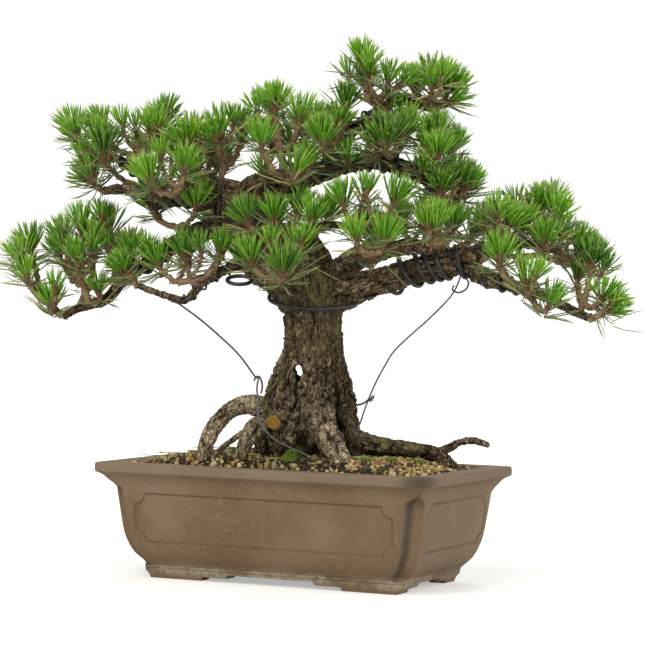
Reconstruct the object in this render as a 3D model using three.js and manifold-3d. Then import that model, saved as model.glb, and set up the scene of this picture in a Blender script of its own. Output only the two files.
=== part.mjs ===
// A cork-barked japanese black pine grown as a bonsai, in a rectangular unglazed pot. Millimetres, +Z up.
// The pot stands on four feet at z = 0 with its long side along X. The tree's best side is turned towards the
// pot's front right corner, so every limb is laid out in that view as [across, depth, height]: across to the
// viewer's right and depth away from the viewer, both from the middle of the pot, and height above the feet.
import * as THREE from "three";
import * as BufferGeometryUtils from "three/addons/utils/BufferGeometryUtils.js";
import Module from "manifold-3d";

const wasm = await Module();
wasm.setup();

// Driving sizes of the pot
const rimLength = 300;
const rimWidth = 180;
const potHeight = 96;
const footInsetLong = 38;
const footInsetShort = 30;
const baseThickness = 8;
const footHeight = 6;
const footStepHeight = 3;
const footBand = 14;
const footLegLong = 48;
const footLegShort = 22;
const footStepLong = 72;
const footStepShort = 39;
const cornerCove = 8;
const drainRadius = 8;
const drainSpacing = 90;
const wallEdgeRound = 1.5;
const cavityCornerRound = 10;

// Driving sizes of the soil, the tree and the wire
const clearGap = 0.35;
const soilEdgeHeight = 91;
const groundHeight = 104;
const viewTurn = THREE.MathUtils.degToRad(25.565);
const twigRadius = 1.7;
const stemRadius = 2.6;
const needleLength = 31;
const guyWireRadius = 0.8;
const ringWireRadius = 1.85;

// Share of the foot's inset that the outer wall has at each height: square foot, belly, cove under the lip
const wallProfile = [
  [0, 1], [footHeight, 0.915], [11, 0.83], [20, 0.6], [31, 0.46], [42, 0.39], [61, 0.32],
  [75, 0.27], [81.5, 0.24], [86, 0.14], [87.5, 0], [potHeight, 0],
];
// Share of the corner cove that is cut at each height: none in the foot and the lip
const covePlan = [[0, 0], [7, 0], [14, 1], [76, 1], [84, 0], [potHeight, 0]];
// Inset of the cavity from the rim's edge at each height
const cavityProfile = [
  [footHeight + baseThickness, 40], [20, 34], [31, 29.5], [42, 27], [75, 22], [potHeight, 18],
];
// Plan of the soil's mound: half its length, half its width and the round of its corners at each height
const moundPlan = [
  { halfLength: 112, halfWidth: 60, round: 30, height: 98 },
  { halfLength: 92, halfWidth: 46, round: 40, height: groundHeight },
];

const up = new THREE.Vector3(0, 0, 1);
const viewRight = new THREE.Vector3(Math.cos(viewTurn), Math.sin(viewTurn), 0);
const viewAway = new THREE.Vector3(-Math.sin(viewTurn), Math.cos(viewTurn), 0);

// Turns [across, depth, height] of the tree's view into a point
function place([across, depth, height]) {
  return new THREE.Vector3()
    .addScaledVector(viewRight, across)
    .addScaledVector(viewAway, depth)
    .addScaledVector(up, height);
}

// Reads a list of [position, value] pairs by straight lines between them
function readProfile(profile, position) {
  let k = 1;
  while (k < profile.length - 1 && profile[k][0] < position) k += 1;
  const [startPosition, startValue] = profile[k - 1];
  const [endPosition, endValue] = profile[k];
  const share = THREE.MathUtils.clamp((position - startPosition) / (endPosition - startPosition), 0, 1);
  return startValue + (endValue - startValue) * share;
}

// The same numbers in the same order from the same seed
function seededDraw(seed) {
  let state = seed >>> 0;
  return () => {
    state = (state + 0x6d2b79f5) >>> 0;
    let mixed = Math.imul(state ^ (state >>> 15), state | 1);
    mixed ^= mixed + Math.imul(mixed ^ (mixed >>> 7), mixed | 61);
    return ((mixed ^ (mixed >>> 14)) >>> 0) / 4294967296;
  };
}

// Closed solids from points and triangles, from ring stacks and from ready geometry
function solidFromFaces(points, faces) {
  const vertProperties = new Float32Array(points.flatMap((p) => [p.x, p.y, p.z]));
  const triVerts = new Uint32Array(faces.flat());
  return new wasm.Manifold(new wasm.Mesh({ numProp: 3, vertProperties, triVerts }));
}

function solidFromGeometry(geometry) {
  geometry.deleteAttribute("normal");
  geometry.deleteAttribute("uv");
  const merged = BufferGeometryUtils.mergeVertices(geometry, 1e-4);
  const vertProperties = Float32Array.from(merged.attributes.position.array);
  const triVerts = Uint32Array.from(merged.index.array);
  return new wasm.Manifold(new wasm.Mesh({ numProp: 3, vertProperties, triVerts }));
}

function block(sizeX, sizeY, sizeZ, middle) {
  const geometry = new THREE.BoxGeometry(sizeX, sizeY, sizeZ);
  geometry.translate(...middle);
  return solidFromGeometry(geometry);
}

// Rings run anticlockwise round the way from the first to the last; both ends are closed by a fan
function solidFromRings(rings) {
  const sides = rings[0].length;
  const points = rings.flat();
  const faces = [];
  for (let r = 0; r + 1 < rings.length; r += 1) {
    for (let s = 0; s < sides; s += 1) {
      const here = r * sides + s;
      const next = r * sides + ((s + 1) % sides);
      faces.push([here, next, next + sides], [here, next + sides, here + sides]);
    }
  }
  const lastRing = (rings.length - 1) * sides;
  const closeEnd = (ring, first, outwards) => {
    const middle = ring.reduce((sum, p) => sum.add(p), new THREE.Vector3()).divideScalar(sides);
    points.push(middle);
    for (let s = 0; s < sides; s += 1) {
      const next = first + ((s + 1) % sides);
      faces.push(outwards ? [points.length - 1, first + s, next] : [points.length - 1, next, first + s]);
    }
  };
  closeEnd(rings[0], 0, false);
  closeEnd(rings[rings.length - 1], lastRing, true);
  return solidFromFaces(points, faces);
}

function largestPiece(solid) {
  return solid.decompose().reduce((best, piece) => (piece.volume() > best.volume() ? piece : best));
}

// Plan of the pot at one height: a rectangle whose corners run from a small round to a cut cove
function potRing(halfLength, halfWidth, height, round, cove, coveShare) {
  const cornerSteps = 3;
  const ring = [];
  for (const [signX, signY] of [[1, 1], [-1, 1], [-1, -1], [1, -1]]) {
    for (let k = 0; k <= cornerSteps; k += 1) {
      const step = signX * signY > 0 ? k : cornerSteps - k;
      const angle = (step / cornerSteps) * (Math.PI / 2);
      const roundX = halfLength - round + round * Math.cos(angle);
      const roundY = halfWidth - round + round * Math.sin(angle);
      const coveX = halfLength - cove * Math.sin(angle);
      const coveY = halfWidth - cove * Math.cos(angle);
      ring.push(new THREE.Vector3(
        signX * THREE.MathUtils.lerp(roundX, coveX, coveShare),
        signY * THREE.MathUtils.lerp(roundY, coveY, coveShare),
        height,
      ));
    }
  }
  return ring;
}

function cavityRings(shrink, heights) {
  return heights.map((height) => {
    const inset = readProfile(cavityProfile, height) + shrink;
    const [halfLength, halfWidth] = [rimLength / 2 - inset, rimWidth / 2 - inset];
    return potRing(halfLength, halfWidth, height, cavityCornerRound, cavityCornerRound, 0);
  });
}

function makePot() {
  const leastRingStep = 0.6;
  const heights = [...wallProfile, ...covePlan].map(([height]) => height).sort((a, b) => a - b);
  const wallHeights = heights.filter((height, k) => k === 0 || height - heights[k - 1] > leastRingStep);
  const body = solidFromRings(wallHeights.map((height) => {
    const inset = readProfile(wallProfile, height);
    const halfLength = rimLength / 2 - footInsetLong * inset;
    const halfWidth = rimWidth / 2 - footInsetShort * inset;
    return potRing(halfLength, halfWidth, height, wallEdgeRound, cornerCove, readProfile(covePlan, height));
  }));
  const aboveRim = 1;
  const cavityHeights = cavityProfile.map(([height]) => height);
  cavityHeights[cavityHeights.length - 1] = potHeight + aboveRim;
  let pot = body.subtract(solidFromRings(cavityRings(0, cavityHeights)));

  // Underside: a shallow field inside the feet, a wide gap on each side and a low step beside each foot
  const halfFootLength = rimLength / 2 - footInsetLong;
  const halfFootWidth = rimWidth / 2 - footInsetShort;
  const below = 2;
  const drainSides = 14;
  const cuts = [
    [2 * (halfFootLength - footBand), 2 * (halfFootWidth - footBand), footHeight],
    [2 * (halfFootLength - footStepLong), rimWidth, footHeight],
    [2 * (halfFootLength - footLegLong), rimWidth, footStepHeight],
    [rimLength, 2 * (halfFootWidth - footStepShort), footHeight],
    [rimLength, 2 * (halfFootWidth - footLegShort), footStepHeight],
  ];
  for (const [sizeX, sizeY, height] of cuts) {
    pot = pot.subtract(block(sizeX, sizeY, height + below, [0, 0, (height - below) / 2]));
  }
  for (const side of [-1, 1]) {
    const drain = new THREE.CylinderGeometry(drainRadius, drainRadius, 4 * baseThickness, drainSides);
    drain.rotateX(Math.PI / 2);
    drain.translate((side * drainSpacing) / 2, 0, footHeight);
    pot = pot.subtract(solidFromGeometry(drain));
  }
  return pot;
}

// The soil fills the cavity and rises from the walls to a flat-topped mound round the tree's foot
function makeSoil() {
  const bottom = footHeight + baseThickness + clearGap;
  const wallHeights = cavityProfile.slice(1, -1).map(([height]) => height);
  const walls = cavityRings(clearGap, [bottom, ...wallHeights, soilEdgeHeight]);
  const mound = moundPlan.map(({ halfLength, halfWidth, round, height }) => (
    potRing(halfLength, halfWidth, height, round, round, 0)));
  return solidFromRings([...walls, ...mound]);
}

// A smooth line through a limb's points, with its radius at each share of the way
function limbLine(limb) {
  const points = limb.route.map(place);
  const curve = new THREE.CatmullRomCurve3(points, false, "catmullrom", 0.5);
  const radiusAt = (share) => readProfile(limb.radii, share);
  return { curve, radiusAt, length: curve.getLength() };
}

// Rings square to the line; each ring's first direction is carried over from the one before it
function limbRings(limb, grow) {
  const steepRise = 0.7;
  const { curve, radiusAt, length } = limbLine(limb);
  const count = Math.max(3, Math.round(length / limb.ringStep));
  const rings = [];
  let side = null;
  for (let k = 0; k <= count; k += 1) {
    const share = k / count;
    const tangent = curve.getTangent(share);
    const middle = curve.getPoint(share);
    if (k === 0) middle.addScaledVector(tangent, -grow);
    if (k === count) middle.addScaledVector(tangent, grow);
    if (side === null) side = Math.abs(tangent.z) > steepRise ? viewRight.clone() : up.clone();
    side.addScaledVector(tangent, -side.dot(tangent)).normalize();
    const other = new THREE.Vector3().crossVectors(tangent, side);
    const ring = [];
    for (let s = 0; s < limb.sides; s += 1) {
      const angle = (s / limb.sides) * 2 * Math.PI;
      const radius = radiusAt(share) * limb.lumps(share, angle) + grow;
      ring.push(middle.clone()
        .addScaledVector(side, radius * Math.cos(angle))
        .addScaledVector(other, radius * Math.sin(angle)));
    }
    rings.push(ring);
  }
  return rings;
}

// Bark lumps of a bough: a slow twist of two and three ridges
function boughLumps(share, angle) {
  return 1 + 0.06 * Math.sin(2 * angle + 9 * share) + 0.05 * Math.sin(3 * angle - 14 * share);
}

// Trunk lumps: flatter from front to back, with flare ribs that run out into the roots
function trunkLumps(share, angle) {
  const flare = Math.max(0, 1 - share / 0.32);
  const flat = 1 - 0.1 * Math.sin(angle) ** 2;
  const ribs = 0.09 * Math.cos(5 * angle + 0.6) + 0.06 * Math.cos(3 * angle - 1.1);
  return flat * (1 + flare * ribs + 0.03 * Math.sin(4 * angle + 11 * share));
}

// Limbs in the order in which they leave one another. The trunk's radii follow its narrow waist and its fork.
const limbs = [
  {
    name: "trunk", sides: 16, ringStep: 13, lumps: trunkLumps,
    radii: [[0, 46], [0.09, 41], [0.2, 36.5], [0.29, 30], [0.37, 24.5], [0.43, 23.5], [0.5, 27.5],
      [0.57, 32], [0.66, 30], [0.75, 24], [0.84, 21], [0.93, 18], [1, 14]],
    route: [[1, 0, 96], [1, 0, 123], [2, 0, 146], [4, 0, 171], [5, 0, 190], [4, 0, 218], [0, 0, 232],
      [-13, 2, 252], [-34, 6, 273], [-50, 8, 293], [-56, 8, 312], [-55, 6, 326]],
  },
  {
    name: "bough_right", sides: 10, ringStep: 15, lumps: boughLumps,
    radii: [[0, 14], [0.3, 12], [0.8, 11.5], [1, 11]],
    route: [[9, 0, 232], [31, -6, 240], [64, -16, 250], [92, -26, 260], [120, -34, 266], [140, -38, 266]],
  },
  {
    name: "bough_right_tip", sides: 7, ringStep: 12, lumps: boughLumps,
    radii: [[0, 7], [0.3, 5.5], [1, 3.4]],
    route: [[131, -36, 262], [149, -42, 252], [169, -48, 247], [184, -52, 243], [213, -62, 229],
      [230, -67, 222]],
  },
  {
    name: "bough_right_top", sides: 7, ringStep: 15, lumps: boughLumps,
    radii: [[0, 6.5], [0.4, 4.6], [1, 3]],
    route: [[126, -33, 266], [146, -28, 277], [170, -18, 282], [196, -11, 280], [216, -8, 270]],
  },
  {
    name: "bough_top", sides: 9, ringStep: 14, lumps: boughLumps,
    radii: [[0, 12], [0.25, 9.5], [0.6, 8], [1, 4]],
    route: [[-54, 6, 314], [-36, 0, 328], [-8, -8, 332], [29, -14, 344], [50, -16, 349], [74, -18, 344],
      [97, -22, 333], [108, -24, 322]],
  },
  {
    name: "bough_apex", sides: 7, ringStep: 15, lumps: boughLumps,
    radii: [[0, 7], [0.5, 4.6], [1, 3]],
    route: [[13, -10, 339], [29, 0, 368], [57, 4, 392], [76, 2, 399], [103, -3, 392]],
  },
  {
    name: "bough_upper_left", sides: 8, ringStep: 15, lumps: boughLumps,
    radii: [[0, 9], [0.4, 6.5], [1, 3.4]],
    route: [[-54, 6, 318], [-79, 2, 323], [-106, 0, 318], [-118, 4, 312], [-133, 10, 318], [-159, 18, 322],
      [-174, 23, 321]],
  },
  {
    name: "bough_upper_left_fork", sides: 7, ringStep: 12, lumps: boughLumps,
    radii: [[0, 5.4], [0.5, 4], [1, 3]],
    route: [[-118, 5, 314], [-146, 14, 338], [-166, 22, 350], [-186, 29, 355]],
  },
  {
    name: "bough_lower_left", sides: 8, ringStep: 15, lumps: boughLumps,
    radii: [[0, 9], [0.4, 6.6], [0.7, 5], [1, 3.2]],
    route: [[-44, 4, 280], [-64, 2, 290], [-91, 8, 288], [-118, 18, 273], [-135, 24, 261], [-157, 33, 245],
      [-170, 38, 230], [-196, 45, 221], [-208, 48, 214]],
  },
  {
    name: "bough_low_left_thin", sides: 6, ringStep: 12, lumps: boughLumps,
    radii: [[0, 5], [0.4, 3.6], [1, 2.8]],
    route: [[-36, -2, 265], [-60, -14, 260], [-77, -18, 251], [-89, -18, 242], [-101, -16, 231],
      [-114, -12, 233], [-131, -4, 238], [-143, 2, 243]],
  },
  {
    name: "bough_front", sides: 7, ringStep: 12, lumps: boughLumps,
    radii: [[0, 7], [0.5, 4.8], [1, 3]],
    route: [[-6, -4, 240], [-16, -34, 243], [-24, -50, 245], [-30, -62, 248]],
  },
  {
    name: "bough_middle", sides: 7, ringStep: 12, lumps: boughLumps,
    radii: [[0, 12], [0.3, 8], [0.6, 5], [1, 3]],
    route: [[8, 2, 238], [9, 2, 262], [2, -6, 280], [4, -20, 289], [17, -30, 294], [32, -36, 295]],
  },
  {
    name: "bough_centre", sides: 7, ringStep: 12, lumps: boughLumps,
    radii: [[0, 6], [0.4, 4.6], [1, 3]],
    route: [[9, -4, 250], [26, -32, 264], [42, -50, 274], [62, -58, 277], [80, -57, 280], [96, -52, 281]],
  },
  {
    name: "bough_back_right", sides: 7, ringStep: 15, lumps: boughLumps,
    radii: [[0, 9], [0.4, 6], [1, 3]],
    route: [[10, 6, 240], [31, 36, 258], [56, 66, 270], [84, 88, 276], [104, 98, 277]],
  },
  {
    name: "bough_back", sides: 7, ringStep: 15, lumps: boughLumps,
    radii: [[0, 8], [0.4, 5.6], [1, 3]],
    route: [[-24, 8, 262], [-35, 44, 274], [-41, 74, 280], [-36, 100, 284]],
  },
  {
    name: "bough_back_left", sides: 7, ringStep: 15, lumps: boughLumps,
    radii: [[0, 8], [0.4, 5.6], [1, 3]],
    route: [[-52, 10, 296], [-74, 42, 307], [-103, 66, 314], [-128, 84, 318]],
  },
];

// Roots that show above the soil; each dives into it at its far end
const roots = [
  {
    name: "root_left", sides: 8, ringStep: 11, lumps: boughLumps,
    radii: [[0, 9], [0.5, 7.2], [0.85, 6.4], [1, 5]],
    route: [[-22, -2, 139], [-40, -8, 144], [-54, -12, 144], [-67, -15, 137], [-78, -18, 121],
      [-86, -20, 98]],
  },
  {
    name: "root_left_low", sides: 7, ringStep: 10, lumps: boughLumps,
    radii: [[0, 7], [0.5, 4.8], [1, 4]],
    route: [[-24, -14, 132], [-42, -24, 130], [-49, -28, 118], [-55, -32, 98]],
  },
  {
    name: "root_front", sides: 8, ringStep: 10, lumps: boughLumps,
    radii: [[0, 15], [0.35, 11.5], [0.7, 7.5], [1, 6]],
    route: [[5, -16, 146], [15, -38, 132], [23, -52, 114], [31, -60, 103], [41, -67, 90]],
  },
  {
    name: "root_right", sides: 8, ringStep: 12, lumps: boughLumps,
    radii: [[0, 10], [0.3, 6.8], [0.8, 5.6], [1, 4.6]],
    route: [[22, -4, 124], [50, -10, 115], [79, -16, 112], [108, -20, 107], [128, -24, 92]],
    fork: {
      sides: 6, ringStep: 9, lumps: boughLumps,
      radii: [[0, 4.4], [0.5, 3.2], [1, 2.4]],
      route: [[103, -19, 107], [116, -14, 110], [127, -9, 116], [139, -5, 118], [153, -1, 114]],
    },
  },
  {
    name: "root_back", sides: 8, ringStep: 12, lumps: boughLumps,
    radii: [[0, 12], [0.5, 7.5], [1, 5]],
    route: [[0, 8, 126], [-6, 40, 117], [-13, 54, 107], [-18, 66, 92]],
  },
];

// Where a bough was sawn off the trunk's foot: a short collar that faces the viewer's left
const prunedStub = {
  sides: 12, ringStep: 9, lumps: () => 1,
  radii: [[0, 9], [0.85, 7.6], [1, 6.6]],
  route: [[-14, -8, 137], [-22, -27, 134], [-26, -37, 132]],
};

// The opening that goes right through the trunk between two ribs
const hollow = { middle: [-6, 0, 174], halfAcross: 3.2, halfHeight: 4.8, depth: 90, sides: 8 };

function makeLimb(limb, grow) {
  const solid = solidFromRings(limbRings(limb, grow));
  return limb.fork ? solid.add(solidFromRings(limbRings(limb.fork, grow))) : solid;
}

function makeTrunk(soilCut) {
  const hole = new THREE.CylinderGeometry(1, 1, 1, hollow.sides);
  hole.scale(hollow.halfAcross, hollow.depth, hollow.halfHeight);
  hole.rotateZ(viewTurn);
  hole.translate(...place(hollow.middle).toArray());
  const trunk = makeLimb(limbs[0], 0).add(makeLimb(prunedStub, 0)).subtract(solidFromGeometry(hole));
  return largestPiece(trunk.subtract(soilCut));
}

// Two guy wires and the thick ring of wire round the trunk's fork
const guyWires = [
  {
    name: "guy_wire_left", stepLength: 12,
    route: [[-112, -13, 231], [-105, -20, 227], [-88, -22, 215], [-70, -22, 200], [-55, -26, 186],
      [-41, -33, 168], [-39, -42, 152], [-38, -50, 136], [-27, -54, 121], [-12, -56, 113], [4, -56, 106]],
  },
  {
    name: "guy_wire_right", stepLength: 12,
    route: [[127, -37, 260], [118, -52, 240], [100, -50, 220], [86, -48, 207], [72, -46, 193], [64, -44, 180],
      [56, -43, 164], [49, -42, 146], [44, -40, 131], [36, -34, 120]],
  },
];
const ringWire = {
  name: "ring_wire", stepLength: 10, corners: 24,
  middle: [6, 0, 234], halfAcross: 38, halfDepth: 30.6, tilt: 0.28,
};

// A wire keeps a round section; a closed wire joins its last ring to its first
function wireSolid(points, radius, stepLength, closed) {
  const sides = 5;
  const curve = new THREE.CatmullRomCurve3(points, closed, "catmullrom", 0.5);
  const section = new THREE.Shape();
  for (let s = 0; s < sides; s += 1) {
    const angle = (s / sides) * 2 * Math.PI;
    section[s === 0 ? "moveTo" : "lineTo"](radius * Math.cos(angle), radius * Math.sin(angle));
  }
  section.closePath();
  const steps = Math.round(curve.getLength() / stepLength);
  const options = { steps, extrudePath: curve, bevelEnabled: false };
  return solidFromGeometry(new THREE.ExtrudeGeometry(section, options));
}

function ringWirePoints() {
  const [across, depth, height] = ringWire.middle;
  return Array.from({ length: ringWire.corners }, (_, k) => {
    const angle = (k / ringWire.corners) * 2 * Math.PI;
    const aside = ringWire.halfAcross * Math.cos(angle);
    const away = ringWire.halfDepth * Math.sin(angle);
    return place([across + aside, depth + away, height + ringWire.tilt * away]);
  });
}

// Masses of foliage. Each grows from the nearest place on its bough, and its shoots stand in a row from the
// first point to the last, by way of the middle one.
const masses = [
  {
    name: "left_tip", on: "bough_lower_left", shoots: 4,
    row: [[-236, 62, 265], [-241, 42, 250], [-216, 40, 218]],
  },
  {
    name: "left_middle", on: "bough_lower_left", shoots: 3,
    row: [[-209, 66, 274], [-192, 44, 283], [-192, 20, 256]],
  },
  {
    name: "left_back", on: "bough_lower_left", shoots: 3,
    row: [[-214, 98, 261], [-185, 96, 272], [-156, 84, 262]],
  },
  {
    name: "left_inner", on: "bough_lower_left", shoots: 3,
    row: [[-168, 50, 284], [-149, 32, 259], [-155, 8, 247]],
  },
  {
    name: "left_thin", on: "bough_low_left_thin", shoots: 3,
    row: [[-122, 0, 254], [-100, -22, 259], [-73, -26, 265]],
  },
  {
    name: "upper_left_tip", on: "bough_upper_left_fork", shoots: 4,
    row: [[-181, 14, 328], [-171, -2, 351], [-198, 40, 365]],
  },
  {
    name: "upper_left_top", on: "bough_upper_left_fork", shoots: 3,
    row: [[-173, 22, 367], [-133, 2, 363], [-126, 34, 370]],
  },
  {
    name: "upper_left_front", on: "bough_upper_left", shoots: 2,
    row: [[-129, -32, 324], [-103, -36, 333]],
  },
  {
    name: "upper_left_inner", on: "bough_upper_left", shoots: 3,
    row: [[-101, -12, 356], [-98, 20, 358], [-84, 50, 349]],
  },
  {
    name: "under_left", on: "bough_lower_left", shoots: 2,
    row: [[-128, 24, 302], [-94, -8, 304]],
  },
  {
    name: "upper_left_back", on: "bough_back_left", shoots: 4,
    row: [[-173, 84, 341], [-131, 104, 351], [-82, 84, 341]],
  },
  {
    name: "top_left", on: "bough_upper_left", shoots: 2,
    row: [[-73, -8, 365], [-58, 28, 366]],
  },
  {
    name: "top_front", on: "bough_top", shoots: 2,
    row: [[-38, -62, 352], [-13, -50, 330]],
  },
  {
    name: "top_middle", on: "bough_top", shoots: 3,
    row: [[-34, 26, 385], [-29, -8, 388], [-9, -30, 376]],
  },
  {
    name: "top_centre", on: "bough_apex", shoots: 3,
    row: [[10, -46, 357], [28, -14, 387], [23, 22, 367]],
  },
  {
    name: "top_back", on: "bough_top", shoots: 4,
    row: [[-33, 62, 359], [8, 84, 370], [49, 62, 361]],
  },
  {
    name: "apex", on: "bough_apex", shoots: 3,
    row: [[43, 0, 422], [62, -20, 407], [46, 30, 408]],
  },
  {
    name: "apex_right", on: "bough_apex", shoots: 3,
    row: [[99, -14, 404], [113, 12, 404], [88, 36, 405]],
  },
  {
    name: "right_upper", on: "bough_top", shoots: 3,
    row: [[62, -46, 356], [79, -20, 369], [72, 24, 368]],
  },
  {
    name: "right_upper_end", on: "bough_top", shoots: 3,
    row: [[104, -48, 347], [103, -24, 363], [117, 10, 355]],
  },
  {
    name: "middle_right", on: "bough_top", shoots: 4,
    row: [[107, -44, 318], [129, -22, 321], [110, 28, 324]],
  },
  {
    name: "middle_inner", on: "bough_middle", shoots: 2,
    row: [[29, -60, 306], [67, -68, 307]],
  },
  {
    name: "centre_front", on: "bough_centre", shoots: 2,
    row: [[40, -88, 277], [60, -72, 276]],
  },
  {
    name: "centre_right", on: "bough_centre", shoots: 2,
    row: [[103, -62, 288], [118, -38, 289]],
  },
  {
    name: "centre_high", on: "bough_middle", shoots: 3,
    row: [[-48, -34, 291], [-28, -44, 292], [1, -54, 291]],
  },
  {
    name: "front_low", on: "bough_front", shoots: 3,
    row: [[-44, -70, 258], [-20, -80, 250], [-10, -58, 268]],
  },
  {
    name: "right_inner", on: "bough_right_top", shoots: 2,
    row: [[145, -34, 291], [161, -52, 291]],
  },
  {
    name: "right_high", on: "bough_right_top", shoots: 3,
    row: [[189, -22, 306], [200, -42, 299], [183, 18, 301]],
  },
  {
    name: "right_middle", on: "bough_right_top", shoots: 2,
    row: [[192, -50, 276], [218, -36, 272]],
  },
  {
    name: "right_low", on: "bough_right_tip", shoots: 3,
    row: [[155, -70, 264], [176, -76, 244], [192, -76, 227]],
  },
  {
    name: "right_tip", on: "bough_right_tip", shoots: 3,
    row: [[230, -44, 261], [236, -70, 235], [222, -20, 249]],
  },
  {
    name: "right_back", on: "bough_right_top", shoots: 3,
    row: [[153, 28, 282], [192, 44, 285], [227, 26, 268]],
  },
  {
    name: "back_right", on: "bough_back_right", shoots: 5,
    row: [[54, 98, 288], [101, 126, 298], [139, 96, 285]],
  },
  {
    name: "back_middle", on: "bough_back", shoots: 5,
    row: [[-83, 112, 291], [-37, 136, 304], [14, 112, 297]],
  },
];

// Room that is already taken: round-ended lengths with a radius at each end
const taken = [];
const spareGap = 0.15;
const limbLumpShare = 1.08;
const wireAllowance = 0.5;

// How far two lengths are apart, skin to skin
function gapBetween(first, second) {
  const firstWay = new THREE.Vector3().subVectors(first.end, first.start);
  const secondWay = new THREE.Vector3().subVectors(second.end, second.start);
  const offset = new THREE.Vector3().subVectors(first.start, second.start);
  const a = Math.max(firstWay.lengthSq(), 1e-6);
  const b = firstWay.dot(secondWay);
  const c = firstWay.dot(offset);
  const e = Math.max(secondWay.lengthSq(), 1e-6);
  const f = secondWay.dot(offset);
  const spread = a * e - b * b;
  const clamp01 = (value) => THREE.MathUtils.clamp(value, 0, 1);
  let firstShare = spread > 1e-6 ? clamp01((b * f - c * e) / spread) : 0;
  const secondShare = clamp01((b * firstShare + f) / e);
  firstShare = clamp01((b * secondShare - c) / a);
  const nearFirst = first.start.clone().addScaledVector(firstWay, firstShare);
  const nearSecond = second.start.clone().addScaledVector(secondWay, secondShare);
  const firstRadius = THREE.MathUtils.lerp(first.startRadius, first.endRadius, firstShare);
  const secondRadius = THREE.MathUtils.lerp(second.startRadius, second.endRadius, secondShare);
  return nearFirst.distanceTo(nearSecond) - firstRadius - secondRadius;
}

function isFree(length, ownParts) {
  const leastGap = clearGap + spareGap;
  return taken.every((other) => ownParts.includes(other.owner) || gapBetween(length, other) > leastGap);
}

function takeLine(points, radii, owner) {
  for (let k = 0; k + 1 < points.length; k += 1) {
    const [startRadius, endRadius] = [radii[k], radii[k + 1]];
    taken.push({ start: points[k], end: points[k + 1], startRadius, endRadius, owner });
  }
}

function takeLimb(limb) {
  const { curve, radiusAt, length } = limbLine(limb);
  const count = Math.max(3, Math.round(length / limb.ringStep));
  const shares = Array.from({ length: count + 1 }, (_, k) => k / count);
  const points = shares.map((share) => curve.getPoint(share));
  takeLine(points, shares.map((share) => radiusAt(share) * limbLumpShare), limb.name);
}

// How a mass is laid out. Its stem heads for a place that is hubDrop below the middle of its shoots, and ends
// in the hub, hubShare of the way there. A shoot leans outwards in step with its distance from the pot's
// middle, and away from the middle of its mass.
const hubDrop = 9;
const hubShare = 0.5;
const leastHubClearance = 4;
const footSteps = 50;
const outwardLean = 0.28;
const crownReach = 240;
const spreadLean = 0.5;
const twigSag = 0.14;
const sagShare = 0.55;

// The foot, the hub and the shoots of one mass. The stem runs from the middle of the bough to the hub, and a
// twig that sags and turns up again runs from the hub to the foot of each shoot.
function massSkeleton(mass) {
  const [first, middle, last] = mass.row.length === 3
    ? mass.row.map(place)
    : [place(mass.row[0]), place(mass.row[0]).lerp(place(mass.row[1]), 0.5), place(mass.row[1])];
  const ends = Array.from({ length: mass.shoots }, (_, k) => {
    const share = k / (mass.shoots - 1);
    return new THREE.Vector3()
      .addScaledVector(first, (1 - share) * (1 - 2 * share))
      .addScaledVector(middle, 4 * share * (1 - share))
      .addScaledVector(last, share * (2 * share - 1));
  });
  const centre = ends.reduce((sum, p) => sum.add(p), new THREE.Vector3()).divideScalar(ends.length);
  const target = centre.clone().addScaledVector(up, -hubDrop);
  const { curve, radiusAt } = limbLine(limbs.find((limb) => limb.name === mass.on));
  const footShares = Array.from({ length: footSteps + 1 }, (_, k) => k / footSteps);
  const bareShares = footShares.filter((share) => {
    const spot = curve.getPoint(share);
    return isFree({ start: spot, end: spot, startRadius: stemRadius, endRadius: stemRadius }, [mass.on]);
  });
  const distanceAt = (share) => curve.getPoint(share).distanceTo(target);
  const footShare = bareShares.reduce((best, share) => (distanceAt(share) < distanceAt(best) ? share : best));
  const foot = curve.getPoint(footShare);
  const reach = target.clone().sub(foot);
  const hubReach = Math.max(hubShare * reach.length(), radiusAt(footShare) + leastHubClearance);
  const hub = foot.clone().addScaledVector(reach.normalize(), hubReach);
  const rowLength = Math.max(1, first.distanceTo(last));
  const shoots = ends.map((end, k) => {
    const outwards = new THREE.Vector3(end.x, end.y, 0);
    const lean = outwardLean * Math.min(1, outwards.length() / crownReach);
    const aim = up.clone()
      .addScaledVector(outwards.normalize(), lean)
      .addScaledVector(end.clone().sub(centre), spreadLean / rowLength)
      .normalize();
    const twigWay = end.clone().sub(hub);
    const sag = twigSag * twigWay.length();
    const bend = hub.clone().addScaledVector(twigWay, sagShare).addScaledVector(up, -sag);
    const twig = new THREE.CatmullRomCurve3([hub, bend, end], false, "catmullrom", 0.5);
    return { name: `${mass.name} shoot ${k}`, end, aim, twig };
  });
  return { foot, hub, shoots };
}

// A ring of points round a place, square to an aim
function ringAbout(middle, aim, radius, count, turn) {
  const side = viewRight.clone().addScaledVector(aim, -viewRight.dot(aim)).normalize();
  const other = new THREE.Vector3().crossVectors(aim, side);
  return Array.from({ length: count }, (_, k) => {
    const angle = turn + (k / count) * 2 * Math.PI;
    return middle.clone()
      .addScaledVector(side, radius * Math.cos(angle))
      .addScaledVector(other, radius * Math.sin(angle));
  });
}

// Triangles between two rings with different counts of points
function bridge(lowerFirst, lowerCount, upperFirst, upperCount) {
  const faces = [];
  let low = 0;
  let high = 0;
  while (low < lowerCount || high < upperCount) {
    const here = lowerFirst + (low % lowerCount);
    const above = upperFirst + (high % upperCount);
    const lowerIsNext = high >= upperCount || (low + 1) / lowerCount <= (high + 1) / upperCount;
    if (low < lowerCount && lowerIsNext) {
      low += 1;
      faces.push([here, lowerFirst + (low % lowerCount), above]);
    } else {
      high += 1;
      faces.push([here, upperFirst + (high % upperCount), above]);
    }
  }
  return faces;
}

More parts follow.
